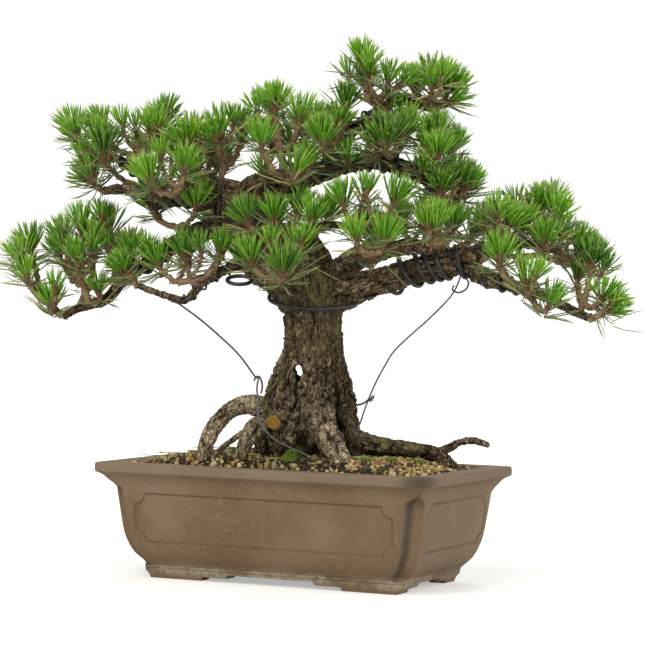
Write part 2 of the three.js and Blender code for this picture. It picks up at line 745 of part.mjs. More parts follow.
// One twig with its tuft: a three-sided twig that widens into a slim core, and a needle on each face of the
// core. Every needle points away from one place inside the core, so needles of a tuft never cross.
const twigSides = 3;
const twigStep = 20;
const coreHeight = 2.8;
const coreRadius = 3.2;
const outerRing = { count: 6, height: 1.7, radius: 3 };
const innerRing = { count: 3, height: 4.8, radius: 2.2 };
const crownHeight = 6.2;
const needleRootRadius = 1.5;
const needleTipRadius = 0.1;
const needleLengthShares = [1, 0.8, 0.6];
const youngNeedle = { least: 0.82, spread: 0.2 };
const oldNeedle = { least: 0.75, spread: 0.2, every: 4 };

function tuftSolid({ name, end, aim, twig }, draw) {
  const points = [];
  const faces = [];
  const twigSteps = Math.max(2, Math.round(twig.getLength() / twigStep));
  for (let k = 0; k <= twigSteps; k += 1) {
    const share = k / twigSteps;
    const way = k === twigSteps ? aim : twig.getTangent(share).lerp(aim, share).normalize();
    points.push(...ringAbout(twig.getPoint(share), way, twigRadius, twigSides, 0));
    if (k > 0) faces.push(...bridge(twigSides * (k - 1), twigSides, twigSides * k, twigSides));
  }
  faces.push([0, 2, 1]);
  const heart = end.clone().addScaledVector(aim, coreHeight);
  const addRing = ({ count, height, radius }) => {
    points.push(...ringAbout(heart.clone().addScaledVector(aim, height), aim, radius, count, 0));
    return points.length - count;
  };
  const outer = addRing(outerRing);
  const inner = addRing(innerRing);
  const crown = points.length;
  points.push(heart.clone().addScaledVector(aim, crownHeight));

  const oldFaces = bridge(outer - twigSides, twigSides, outer, outerRing.count);
  const youngFaces = bridge(outer, outerRing.count, inner, innerRing.count);
  for (let k = 0; k < innerRing.count; k += 1) {
    youngFaces.push([inner + k, inner + ((k + 1) % innerRing.count), crown]);
  }
  const addNeedle = (face, { least, spread }) => {
    const length = needleLength * (least + spread * draw());
    const way = new THREE.Vector3();
    const root = new THREE.Vector3();
    for (const corner of face) {
      const weight = 0.5 + 0.5 * draw();
      way.addScaledVector(points[corner].clone().sub(heart).normalize(), weight);
      root.addScaledVector(points[corner], 1 / face.length);
    }
    way.normalize();
    for (const share of needleLengthShares) {
      const tip = heart.clone().addScaledVector(way, length * share);
      const radii = { startRadius: needleRootRadius, endRadius: needleTipRadius };
      const needle = { start: root, end: tip, ...radii, owner: name };
      if (isFree(needle, [name])) {
        taken.push(needle);
        points.push(tip);
        face.forEach((corner, k) => faces.push([corner, face[(k + 1) % 3], points.length - 1]));
        return;
      }
    }
    faces.push(face);
  };
  youngFaces.forEach((face) => addNeedle(face, youngNeedle));
  oldFaces.forEach((face, k) => {
    if (k % oldNeedle.every === 1) addNeedle(face, oldNeedle);
    else faces.push(face);
  });
  return solidFromFaces(points, faces);
}

// The main run: pot and soil, then trunk, roots, boughs and wires, each cut clear of what came before it
const solids = new Map();
const pot = makePot();
const soil = makeSoil();
const soilCut = soil.translate(0, 0, clearGap);
const cutters = [makeLimb(limbs[0], clearGap).add(makeLimb(prunedStub, clearGap))];
solids.set("trunk", makeTrunk(soilCut));

function boxesMeet(first, second) {
  const [a, b] = [first.boundingBox(), second.boundingBox()];
  return [0, 1, 2].every((k) => a.min[k] <= b.max[k] && b.min[k] <= a.max[k]);
}

function cutClear(solid) {
  const near = cutters.filter((cutter) => boxesMeet(cutter, solid));
  return largestPiece(near.reduce((rest, cutter) => rest.subtract(cutter), solid));
}

for (const limb of [...roots, ...limbs.slice(1)]) {
  const isRoot = roots.includes(limb);
  const whole = makeLimb(limb, 0);
  solids.set(limb.name, cutClear(isRoot ? whole.subtract(soilCut) : whole));
  cutters.push(makeLimb(limb, clearGap));
}
for (const limb of [...limbs, ...roots]) takeLimb(limb);

for (const wire of guyWires) {
  const points = wire.route.map(place);
  solids.set(wire.name, cutClear(wireSolid(points, guyWireRadius, wire.stepLength, false).subtract(soilCut)));
  takeLine(points, points.map(() => guyWireRadius + wireAllowance), wire.name);
}
const ringPoints = ringWirePoints();
solids.set(ringWire.name, cutClear(wireSolid(ringPoints, ringWireRadius, ringWire.stepLength, true)));
const ringWirePath = [...ringPoints, ringPoints[0]];
takeLine(ringWirePath, ringWirePath.map(() => ringWireRadius + wireAllowance), ringWire.name);

// Stems, twigs and cores of every mass take their room first, and a shoot with no room is left out
const twigShares = [0.15, 0.5, 0.8, 1];
for (const mass of masses) {
  mass.skeleton = massSkeleton(mass);
  const { foot, hub, shoots } = mass.skeleton;
  const ownParts = [mass.name, mass.on, ...shoots.map((shoot) => shoot.name)];
  takeLine([foot, hub], [stemRadius, stemRadius], mass.name);
  mass.skeleton.shoots = shoots.filter(({ name, end, aim, twig }) => {
    const twigPoints = twigShares.map((share) => twig.getPoint(share));
    const lengths = twigPoints.slice(1).map((point, k) => ({
      start: twigPoints[k], end: point, startRadius: twigRadius, endRadius: twigRadius,
    }));
    const coreTop = end.clone().addScaledVector(aim, 2 * coreHeight);
    const core = { start: end, end: coreTop, startRadius: coreRadius, endRadius: coreRadius };
    const free = [...lengths, core].every((length) => isFree(length, ownParts));
    if (free) {
      takeLine(twigPoints, twigPoints.map(() => twigRadius), name);
      takeLine([end, coreTop], [coreRadius, coreRadius], name);
    }
    return free;
  });
}
masses.forEach((mass, index) => {
  const draw = seededDraw(index + 1);
  const { foot, hub, shoots } = mass.skeleton;
  const way = hub.clone().sub(foot).normalize();
  const hubEnd = hub.clone().addScaledVector(way, 0.5 * stemRadius);
  const stem = solidFromRings([foot, hubEnd].map((spot) => ringAbout(spot, way, stemRadius, twigSides, 1)));
  const whole = shoots.reduce((sum, shoot) => sum.add(tuftSolid(shoot, draw)), stem);
  solids.set(mass.name, cutClear(whole));
});

const finishes = {
  pot: new THREE.MeshStandardMaterial({ color: 0x826c55, roughness: 0.75, metalness: 0 }),
  soil: new THREE.MeshStandardMaterial({ color: 0xb49a6a, roughness: 0.95, metalness: 0 }),
  bark: new THREE.MeshStandardMaterial({ color: 0x6b5a45, roughness: 0.95, metalness: 0 }),
  needles: new THREE.MeshStandardMaterial({ color: 0x3f8a24, roughness: 0.55, metalness: 0 }),
  wire: new THREE.MeshStandardMaterial({ color: 0x222426, roughness: 0.45, metalness: 0.6 }),
};

function finishOf(name) {
  if (name.includes("wire")) return finishes.wire;
  if (masses.some((mass) => mass.name === name)) return finishes.needles;
  return finishes.bark;
}

function meshOf(name, solid, material) {
  const { vertProperties, triVerts } = solid.getMesh();
  const geometry = new THREE.BufferGeometry();
  geometry.setAttribute("position", new THREE.BufferAttribute(vertProperties, 3));
  geometry.setIndex(new THREE.BufferAttribute(triVerts, 1));
  geometry.computeVertexNormals();
  const mesh = new THREE.Mesh(geometry, material);
  mesh.name = name;
  return mesh;
}

const bonsai = new THREE.Group();
bonsai.add(meshOf("pot", pot, finishes.pot));
bonsai.add(meshOf("soil", soil, finishes.soil));
for (const [name, solid] of solids) bonsai.add(meshOf(name, solid, finishOf(name)));

// The origin is under the middle of the whole plant's box, on the surface that the pot stands on
const extent = new THREE.Box3().setFromObject(bonsai);
const middle = extent.getCenter(new THREE.Vector3());
bonsai.position.set(-middle.x, -middle.y, -extent.min.z);

export default bonsai;
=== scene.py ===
# Looks of a cork-barked japanese black pine grown as a bonsai, in a rectangular unglazed pot.
# Sizes are in millimetres from the middle of the pot's foot, and become metres when a mesh is made. The tree
# is laid out in its own view as (across, depth, height), where depth is the way from the viewer.
import functools
import itertools
import math

import bmesh
import bpy
import numpy as np
from mathutils import Matrix, Vector
from numpy.linalg import norm


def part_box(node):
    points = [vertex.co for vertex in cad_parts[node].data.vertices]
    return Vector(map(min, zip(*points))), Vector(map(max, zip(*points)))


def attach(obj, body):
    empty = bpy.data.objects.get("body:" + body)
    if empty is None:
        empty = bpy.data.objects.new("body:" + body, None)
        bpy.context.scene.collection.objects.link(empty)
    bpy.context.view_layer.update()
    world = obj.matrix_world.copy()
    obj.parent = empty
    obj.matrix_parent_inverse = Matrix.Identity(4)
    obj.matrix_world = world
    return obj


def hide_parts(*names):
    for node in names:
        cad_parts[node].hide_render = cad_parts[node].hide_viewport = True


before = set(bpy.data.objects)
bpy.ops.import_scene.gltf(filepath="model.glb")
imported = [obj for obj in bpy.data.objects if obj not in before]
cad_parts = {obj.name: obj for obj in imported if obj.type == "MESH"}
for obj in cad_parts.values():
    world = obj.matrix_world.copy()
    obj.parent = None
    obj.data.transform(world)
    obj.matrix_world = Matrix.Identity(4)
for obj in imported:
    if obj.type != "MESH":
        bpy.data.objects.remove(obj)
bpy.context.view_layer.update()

MM = 0.001
UP = np.array([0.0, 0.0, 1.0])
VIEW_TURN = math.radians(25.565)
VIEW_RIGHT = np.array([math.cos(VIEW_TURN), math.sin(VIEW_TURN), 0.0])
VIEW_AWAY = np.array([-math.sin(VIEW_TURN), math.cos(VIEW_TURN), 0.0])
GOLDEN_ANGLE = math.pi * (3 - math.sqrt(5))

pot_low, pot_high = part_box("pot")
pot_middle = np.array([(pot_low.x + pot_high.x) / 2, (pot_low.y + pot_high.y) / 2, pot_low.z])


def place(points):
    """Turns (across, depth, height) of the tree's view into places about the pot's middle"""
    across, depth, height = np.moveaxis(np.asarray(points, float), -1, 0)[..., None]
    return across * VIEW_RIGHT + depth * VIEW_AWAY + height * UP


def in_metres(points):
    return points * MM + pot_middle


def unit(vectors):
    return vectors / np.maximum(norm(vectors, axis=-1, keepdims=True), 1e-9)


def ease(low, high, values):
    """A smooth step from 0 at the low value to 1 at the high one"""
    share = np.clip((values - low) / (high - low), 0, 1)
    return share * share * (3 - 2 * share)


def bell(values, width):
    return np.exp(-((values / width) ** 2))


def circle_turns(count):
    return np.arange(count) / count * 2 * math.pi


def around(turns, first, other):
    """The way from a middle at each turn, from the first direction to the other"""
    return np.cos(turns)[..., None] * first + np.sin(turns)[..., None] * other


# Smooth lines and the limbs that follow them
class SmoothLine:
    """A line through points: a cubic on each stretch, with slopes from the points before and after it"""

    def __init__(self, points, closed=False):
        points = np.array(points, float)
        before_first, after_last = 2 * points[0] - points[1], 2 * points[-1] - points[-2]
        ends = (points[-1:], points[:2]) if closed else (before_first, after_last)
        self.points = np.vstack([ends[0], points, ends[1]])
        self.stretches = len(self.points) - 3
        self.length = norm(np.diff(self.at(np.linspace(0, 1, 201)), axis=0), axis=1).sum()

    def at(self, shares):
        position = np.clip(np.asarray(shares, float), 0, 1) * self.stretches
        first = np.minimum(position.astype(int), self.stretches - 1)
        way = (position - first)[..., None]
        before, start, end, after = (self.points[first + k] for k in range(4))
        start_slope = 0.5 * (end - before)
        end_slope = 0.5 * (after - start)
        square = 3 * (end - start) - 2 * start_slope - end_slope
        cube = 2 * (start - end) + start_slope + end_slope
        return start + start_slope * way + square * way**2 + cube * way**3

    def tangents(self, shares, nudge=0.0001):
        """The way the line runs, taken over a short stretch on both sides"""
        shares = np.asarray(shares, float)
        return unit(self.at(np.minimum(shares + nudge, 1)) - self.at(np.maximum(shares - nudge, 0)))


def carried_frames(tangents):
    """Two directions square to each tangent, carried along the line without twist"""
    steep_rise = 0.7
    side = VIEW_RIGHT if abs(tangents[0][2]) > steep_rise else UP
    sides = []
    for tangent in tangents:
        side = unit(side - tangent * side.dot(tangent))
        sides.append(side)
    sides = np.array(sides)
    return sides, np.cross(tangents, sides)


def bough_lumps(share, angle):
    return 1 + 0.06 * np.sin(2 * angle + 9 * share) + 0.05 * np.sin(3 * angle - 14 * share)


def trunk_lumps(share, angle):
    flare = np.maximum(0, 1 - share / 0.32)
    flat = 1 - 0.1 * np.sin(angle) ** 2
    ribs = 0.09 * np.cos(5 * angle + 0.6) + 0.06 * np.cos(3 * angle - 1.1)
    # On the left of the trunk's bend the rings would fold into a shelf, so they are drawn in there
    fold = 0.27 * ease(0.45, 0.52, share) * ease(0.72, 0.63, share) * np.maximum(0, -np.cos(angle))
    return flat * (1 - fold) * (1 + flare * ribs + 0.03 * np.sin(4 * angle + 11 * share))


def no_lumps(share, angle):
    return 1 + 0 * share * angle


class Limb:
    """A tapering limb: its step, its radius at shares of the way, its route, and its bark's cell and depth"""

    def __init__(self, name, step, radii, route, bark_cell=None, bark_depth=None, lumps=bough_lumps,
            nudge=0.0001):
        self.name, self.step, self.lumps, self.nudge = name, step, lumps, nudge
        self.radii = np.array(radii, float)
        self.line = SmoothLine(place(route))
        self.length = self.line.length
        middle_radius = self.radius(0.4)
        self.bark_cell = bark_cell or np.clip(0.42 * middle_radius, 2.3, 5.2)
        self.bark_depth = bark_depth or 0.15 * middle_radius + 0.5
        self.collar_end = 0.0

    def radius(self, shares):
        return np.interp(shares, *self.radii.T)

    def swelled_radius(self, shares):
        """The radius with a collar where the limb leaves the one that carries it"""
        beyond = np.maximum(0, np.asarray(shares) * self.length - self.collar_end)
        collar = 0.2 * np.exp(-beyond / (0.9 * self.radii[0, 1])) if self.collar_end else 0
        return self.radius(shares) * (1 + collar)

    def shares(self, step):
        return np.linspace(0, 1, max(3, round(self.length / step)) + 1)


TRUNK = Limb("trunk", 13, lumps=trunk_lumps, bark_cell=3.8, bark_depth=2.2, nudge=0.055,
    radii=[[0, 46], [0.09, 41], [0.2, 36.5], [0.29, 30], [0.37, 24.5], [0.43, 23.5], [0.5, 27.5], [0.57, 32],
    [0.66, 30], [0.75, 24], [0.84, 21], [0.93, 18], [1, 14]],
    route=[[1, 0, 96], [1, 0, 123], [2, 0, 146], [4, 0, 171], [5, 0, 190], [4, 0, 218], [0, 0, 232],
    [-13, 2, 252], [-34, 6, 273], [-50, 8, 293], [-56, 8, 312], [-55, 6, 326]])

# Boughs: name, step, the radius at shares of the way, and the route in the tree's view
BOUGH_TABLE = [
    ("right", 15, [[0, 14], [0.3, 12], [0.8, 11.5], [1, 11]],
        [[9, 0, 232], [31, -6, 240], [64, -16, 250], [92, -26, 260], [120, -34, 266], [140, -38, 266]]),
    ("right_tip", 12, [[0, 7], [0.3, 5.5], [1, 3.4]], [[131, -36, 262], [149, -42, 252], [169, -48, 247],
        [184, -52, 243], [213, -62, 229], [230, -67, 222]]),
    ("right_top", 15, [[0, 6.5], [0.4, 4.6], [1, 3]], [[126, -33, 266], [146, -28, 277], [170, -18, 282],
        [196, -11, 280], [216, -8, 270]]),
    ("top", 14, [[0, 12], [0.25, 9.5], [0.6, 8], [1, 4]],
        [[-54, 6, 314], [-36, 0, 328], [-8, -8, 332], [29, -14, 344], [50, -16, 349], [74, -18, 344],
        [97, -22, 333], [108, -24, 322]]),
    ("apex", 15, [[0, 7], [0.5, 4.6], [1, 3]], [[13, -10, 339], [29, 0, 368], [57, 4, 392], [76, 2, 399],
        [103, -3, 392]]),
    ("upper_left", 15, [[0, 9], [0.4, 6.5], [1, 3.4]], [[-54, 6, 318], [-79, 2, 323], [-106, 0, 318],
        [-118, 4, 312], [-133, 10, 318], [-159, 18, 322], [-174, 23, 321]]),
    ("upper_left_fork", 12, [[0, 5.4], [0.5, 4], [1, 3]],
        [[-118, 5, 314], [-146, 14, 338], [-166, 22, 350], [-186, 29, 355]]),
    ("lower_left", 15, [[0, 9], [0.4, 6.6], [0.7, 5], [1, 3.2]],
        [[-44, 4, 280], [-64, 2, 290], [-91, 8, 288], [-118, 18, 273], [-135, 24, 261], [-157, 33, 245],
        [-170, 38, 230], [-196, 45, 221], [-208, 48, 214]]),
    ("low_left_thin", 12, [[0, 5], [0.4, 3.6], [1, 2.8]],
        [[-36, -2, 265], [-60, -14, 260], [-77, -18, 251], [-89, -18, 242], [-101, -16, 231],
        [-114, -12, 233], [-131, -4, 238], [-143, 2, 243]]),
    ("front", 12, [[0, 7], [0.5, 4.8], [1, 3]], [[-6, -4, 240], [-16, -34, 243], [-24, -50, 245],
        [-30, -62, 248]]),
    ("middle", 12, [[0, 12], [0.3, 8], [0.6, 5], [1, 3]],
        [[8, 2, 238], [9, 2, 262], [2, -6, 280], [4, -20, 289], [17, -30, 294], [32, -36, 295]]),
    ("centre", 12, [[0, 6], [0.4, 4.6], [1, 3]], [[9, -4, 250], [26, -32, 264], [42, -50, 274],
        [62, -58, 277], [80, -57, 280], [96, -52, 281]]),
    ("back_right", 15, [[0, 9], [0.4, 6], [1, 3]], [[10, 6, 240], [31, 36, 258], [56, 66, 270],
        [84, 88, 276], [104, 98, 277]]),
    ("back", 15, [[0, 8], [0.4, 5.6], [1, 3]], [[-24, 8, 262], [-35, 44, 274], [-41, 74, 280],
        [-36, 100, 284]]),
    ("back_left", 15, [[0, 8], [0.4, 5.6], [1, 3]], [[-52, 10, 296], [-74, 42, 307], [-103, 66, 314],
        [-128, 84, 318]])
]
BOUGH_BY_NAME = {name: Limb("bough_" + name, *rest) for name, *rest in BOUGH_TABLE}
BOUGHS = list(BOUGH_BY_NAME.values())

ROOTS = [
    Limb("root_left", 11, [[0, 9], [0.5, 7.2], [0.85, 6.4], [1, 5]],
        [[-22, -2, 139], [-40, -8, 144], [-54, -12, 144], [-67, -15, 137], [-78, -18, 121], [-86, -20, 98]],
        3.4, 1.1),
    Limb("root_left_low", 10, [[0, 7], [0.5, 4.8], [1, 4]],
        [[-24, -14, 132], [-42, -24, 130], [-49, -28, 118], [-55, -32, 98]], 2.8, 1.0),
    Limb("root_front", 10, [[0, 15], [0.35, 11.5], [0.7, 7.5], [1, 6]],
        [[5, -16, 146], [15, -38, 132], [23, -52, 114], [31, -60, 103], [41, -67, 90]], 3.2, 1.4),
    Limb("root_right", 12, [[0, 10], [0.3, 6.8], [0.8, 5.6], [1, 4.6]],
        [[22, -4, 124], [50, -10, 115], [79, -16, 112], [108, -20, 107], [128, -24, 92]], 3.8, 1.2),
    Limb("root_back", 12, [[0, 12], [0.5, 7.5], [1, 5]], [[0, 8, 126], [-6, 40, 117], [-13, 54, 107],
        [-18, 66, 92]], 4.2, 1.4)
]
ROOT_ARCH = Limb("root_arch", 9, [[0, 4.4], [0.5, 3.2], [1, 2.4]],
    [[103, -19, 107], [116, -14, 110], [127, -9, 116], [139, -5, 118], [153, -1, 114]], 2.6, 0.8)
PRUNED_STUB = Limb("pruned_stub", 9, [[0, 9], [0.85, 7.6], [1, 6.6]], lumps=no_lumps, bark_cell=3.4,
    bark_depth=0.9, route=[[-14, -8, 137], [-22, -27, 134], [-26, -37, 132]])
# Roots that only the looks have, close to the trunk's foot
THIN_ROOTS = [
    Limb("thin_root_left", 8, [[0, 3.4], [0.5, 2.6], [1, 2.2]],
        [[-34, -14, 128], [-52, -18, 121], [-64, -21, 113], [-77, -24, 101]], 2.4, 0.6),
    Limb("thin_root_near", 8, [[0, 3.6], [0.5, 3], [1, 2.4]],
        [[-30, -26, 133], [-38, -34, 122], [-46, -38, 112], [-52, -40, 101]], 2.4, 0.6),
    Limb("knobby_root", 8, [[0, 11], [0.5, 8], [1, 5]], [[30, 6, 120], [50, 2, 112], [68, -2, 108],
        [88, -10, 105], [106, -16, 101]], 3.0, 1.8)
]
HOLE_MIDDLE, HOLE_DEPTH = [-6, 0, 174], 90
# The hole's two lobes: how far each is across and up from the middle, and half its width and height
HOLE_LOBES = [(-0.4, 1.7, 4.0, 4.2), (1.0, -2.4, 3.5, 4.1)]

GUY_WIRE_ROUTES = {
    "guy_wire_left": [[-112, -13, 231], [-105, -20, 227], [-88, -22, 215], [-70, -22, 200], [-55, -26, 186],
        [-41, -33, 168], [-39, -42, 152], [-38, -50, 136], [-27, -54, 121], [-12, -56, 113], [4, -56, 106]],
    "guy_wire_right": [[127, -37, 260], [118, -52, 240], [100, -50, 220], [86, -48, 207], [72, -46, 193],
        [64, -44, 180], [56, -43, 164], [49, -42, 146], [44, -40, 131], [36, -34, 120]]
}
GUY_WIRE_RADIUS = 0.8
RING_WIRE_RADIUS = 1.85
RING_WIRE = {"middle": [6, 0, 234], "half_across": 38, "half_depth": 30.6, "tilt": 0.28, "corners": 24}


def ring_wire_route():
    turns = circle_turns(RING_WIRE["corners"])
    away = RING_WIRE["half_depth"] * np.sin(turns)
    aside = RING_WIRE["half_across"] * np.cos(turns)
    return np.stack([aside, away, RING_WIRE["tilt"] * away], 1) + RING_WIRE["middle"]


# Masses of foliage: name, the bough that carries it, count of shoots, and the row that the shoots stand in
MASSES = [
    ("left_tip", "lower_left", 4, [[-236, 62, 265], [-241, 42, 250], [-216, 40, 218]]),
    ("left_middle", "lower_left", 3, [[-209, 66, 274], [-192, 44, 283], [-192, 20, 256]]),
    ("left_back", "lower_left", 3, [[-214, 98, 261], [-185, 96, 272], [-156, 84, 262]]),
    ("left_inner", "lower_left", 3, [[-168, 50, 284], [-149, 32, 259], [-155, 8, 247]]),
    ("left_thin", "low_left_thin", 3, [[-122, 0, 254], [-100, -22, 259], [-73, -26, 265]]),
    ("upper_left_tip", "upper_left_fork", 4, [[-181, 14, 328], [-171, -2, 351], [-198, 40, 365]]),
    ("upper_left_top", "upper_left_fork", 3, [[-173, 22, 367], [-133, 2, 363], [-126, 34, 370]]),
    ("upper_left_front", "upper_left", 2, [[-129, -32, 324], [-103, -36, 333]]),
    ("upper_left_inner", "upper_left", 3, [[-101, -12, 356], [-98, 20, 358], [-84, 50, 349]]),
    ("under_left", "lower_left", 2, [[-128, 24, 302], [-94, -8, 304]]),
    ("upper_left_back", "back_left", 4, [[-173, 84, 341], [-131, 104, 351], [-82, 84, 341]]),
    ("top_left", "upper_left", 2, [[-73, -8, 365], [-58, 28, 366]]),
    ("top_front", "top", 2, [[-38, -62, 352], [-13, -50, 330]]),
    ("top_middle", "top", 3, [[-34, 26, 385], [-29, -8, 388], [-9, -30, 376]]),
    ("top_centre", "apex", 3, [[10, -46, 357], [28, -14, 387], [23, 22, 367]]),
    ("top_back", "top", 4, [[-33, 62, 359], [8, 84, 370], [49, 62, 361]]),
    ("apex", "apex", 3, [[43, 0, 422], [62, -20, 407], [46, 30, 408]]),
    ("apex_right", "apex", 3, [[99, -14, 404], [113, 12, 404], [88, 36, 405]]),
    ("right_upper", "top", 3, [[62, -46, 356], [79, -20, 369], [72, 24, 368]]),
    ("right_upper_end", "top", 3, [[104, -48, 347], [103, -24, 363], [117, 10, 355]]),
    ("middle_right", "top", 4, [[107, -44, 318], [129, -22, 321], [110, 28, 324]]),
    ("middle_inner", "middle", 2, [[29, -60, 306], [67, -68, 307]]),
    ("centre_front", "centre", 2, [[40, -88, 277], [60, -72, 276]]),
    ("centre_right", "centre", 2, [[103, -62, 288], [118, -38, 289]]),
    ("centre_high", "middle", 3, [[-48, -34, 291], [-28, -44, 292], [1, -54, 291]]),
    ("front_low", "front", 3, [[-44, -70, 258], [-20, -80, 250], [-10, -58, 268]]),
    ("right_inner", "right_top", 2, [[145, -34, 291], [161, -52, 291]]),
    ("right_high", "right_top", 3, [[189, -22, 306], [200, -42, 299], [183, 18, 301]]),
    ("right_middle", "right_top", 2, [[192, -50, 276], [218, -36, 272]]),
    ("right_low", "right_tip", 3, [[155, -70, 264], [176, -76, 244], [192, -76, 227]]),
    ("right_tip", "right_tip", 3, [[230, -44, 261], [236, -70, 235], [222, -20, 249]]),
    ("right_back", "right_top", 3, [[153, 28, 282], [192, 44, 285], [227, 26, 268]]),
    ("back_right", "back_right", 5, [[54, 98, 288], [101, 126, 298], [139, 96, 285]]),
    ("back_middle", "back", 5, [[-83, 112, 291], [-37, 136, 304], [14, 112, 297]])
]


# Seeded noise over points: smooth values, and the cells of plates
class Noise:
    def __init__(self, seed):
        draw = np.random.default_rng(seed)
        self.order = draw.permutation(256)
        self.spots = draw.random((256, 3))
        self.tones = draw.random(256)

    def index(self, cells):
        x, y, z = np.moveaxis(cells & 255, -1, 0)
        return self.order[(self.order[(self.order[x] + y) & 255] + z) & 255]

    def smooth(self, points):
        base = np.floor(points).astype(int)
        share = points - base
        share = share * share * (3 - 2 * share)
        total = np.zeros(len(points))
        for corner in itertools.product((0, 1), repeat=3):
            weight = np.where(np.array(corner) == 1, share, 1 - share).prod(axis=1)
            total += weight * self.tones[self.index(base + np.array(corner))]
        return 2 * total - 1

    def layered(self, points, layers=3):
        total = sum(self.smooth(points * 2.1**k + 7.3 * k) * 0.5**k for k in range(layers))
        return total / sum(0.5**k for k in range(layers))

    def plates(self, points):
        """How far each point is from its plate's edge, and the plate's tone"""
        base = np.floor(points).astype(int)
        nearest = np.full(len(points), 9.0)
        second = nearest.copy()
        tone = np.zeros(len(points))
        for offset in itertools.product((-1, 0, 1), repeat=3):
            cell = base + np.array(offset)
            index = self.index(cell)
            gap = norm(cell + self.spots[index] - points, axis=1)
            closer = gap < nearest
            second = np.where(closer, nearest, np.minimum(second, gap))
            tone = np.where(closer, self.tones[index], tone)
            nearest = np.minimum(nearest, gap)
        return second - nearest, tone


# Meshes and objects
def new_object(name, data):
    obj = bpy.data.objects.new(name, data)
    bpy.context.scene.collection.objects.link(obj)
    return obj


def link_mesh(name, points, faces, edges=()):
    mesh = bpy.data.meshes.new(name)
    mesh.from_pydata(in_metres(np.asarray(points)), list(edges), [list(face) for face in faces])
    return new_object(name, mesh)


def mesh_points(obj):
    """The points of an object's mesh in millimetres about the pot's middle, and their normals"""
    points, normals = np.empty((len(obj.data.vertices), 3)), np.empty((len(obj.data.vertices), 3), np.float32)
    obj.data.vertices.foreach_get("co", points.ravel())
    obj.data.vertex_normals.foreach_get("vector", normals.ravel())
    return (points - pot_middle) / MM, normals.astype(float)


def move_points(obj, points):
    obj.data.vertices.foreach_set("co", in_metres(points).ravel())
    obj.data.update()


def add_attributes(obj, **named_values):
    for name, values in named_values.items():
        kind = "FLOAT" if np.ndim(values) == 1 else "FLOAT_VECTOR"
        attribute = obj.data.attributes.new(name, kind, "POINT")
        attribute.data.foreach_set("value" if kind == "FLOAT" else "vector",
            np.asarray(values, float).ravel())


def settle(obj):
    bpy.context.view_layer.update()
    evaluated = obj.evaluated_get(bpy.context.evaluated_depsgraph_get())
    mesh = bpy.data.meshes.new_from_object(evaluated)
    obj.modifiers.clear()
    obj.data = mesh


def cut_away(obj, cutter):
    modifier = obj.modifiers.new("cut", "BOOLEAN")
    modifier.operation, modifier.solver, modifier.object = "DIFFERENCE", "MANIFOLD", cutter
    settle(obj)
    bpy.data.objects.remove(cutter)


def shade(obj, sharp_angle=None):
    obj.data.shade_smooth()
    if sharp_angle is not None:
        obj.data.set_sharp_from_angle(angle=math.radians(sharp_angle))


def closed_mesh(name, points, faces):
    obj = link_mesh(name, points, faces)
    work = bmesh.new()
    work.from_mesh(obj.data)
    bmesh.ops.recalc_face_normals(work, faces=work.faces)
    work.to_mesh(obj.data)
    work.free()
    return obj


def hand_over(obj, material, nodes=()):
    """Gives a finished piece its material and its body, and hides the nodes it stands for"""
    obj.data.materials.clear()
    obj.data.materials.append(material)
    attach(obj, "root")
    if nodes:
        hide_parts(*nodes)


def ring_faces(rings, sides, first=0, caps=(True, True)):
    faces = []
    for here in range(first, first + (rings - 1) * sides, sides):
        for k in range(sides):
            after = (k + 1) % sides
            faces.append((here + k, here + after, here + sides + after, here + sides + k))
    if caps[0]:
        faces.append(tuple(range(first + sides - 1, first - 1, -1)))
    if caps[1]:
        last = first + (rings - 1) * sides
        faces.append(tuple(range(last, last + sides)))
    return faces


def limb_tube(limb, sides, step):
    shares = limb.shares(step)
    first, other = carried_frames(limb.line.tangents(shares, limb.nudge))
    turns = circle_turns(sides)
    radii = limb.swelled_radius(shares)[:, None] * limb.lumps(shares[:, None], turns[None, :])
    return limb.line.at(shares)[:, None] + radii[..., None] * around(turns, first[:, None], other[:, None])


def join_tubes(name, limbs, sides, step):
    tubes = [limb_tube(limb, sides, step) for limb in limbs]
    starts = np.cumsum([0] + [len(tube) * sides for tube in tubes]).tolist()
    faces = [face for tube, start in zip(tubes, starts) for face in ring_faces(len(tube), sides, start)]
    return link_mesh(name, np.vstack(tubes).reshape(-1, 3), faces)


def prism(outline, along_x, half_depth):
    """A solid whose outline, of (aside, height) points, is drawn out along one of the pot's sides"""
    points = [(depth, aside, height) if along_x else (aside, depth, height)
        for depth in (-half_depth, half_depth) for aside, height in outline]
    return closed_mesh("prism", points, ring_faces(2, len(outline)))


def rod(middle, radii, half_depth, sides, axis_x, axis_y):
    """An elliptic rod across the two axes, closed at both ends"""
    ring = middle + around(circle_turns(sides), radii[0] * axis_x, radii[1] * axis_y)
    away = half_depth * np.cross(axis_x, axis_y)
    return closed_mesh("rod", np.vstack([ring - away, ring + away]), ring_faces(2, sides))


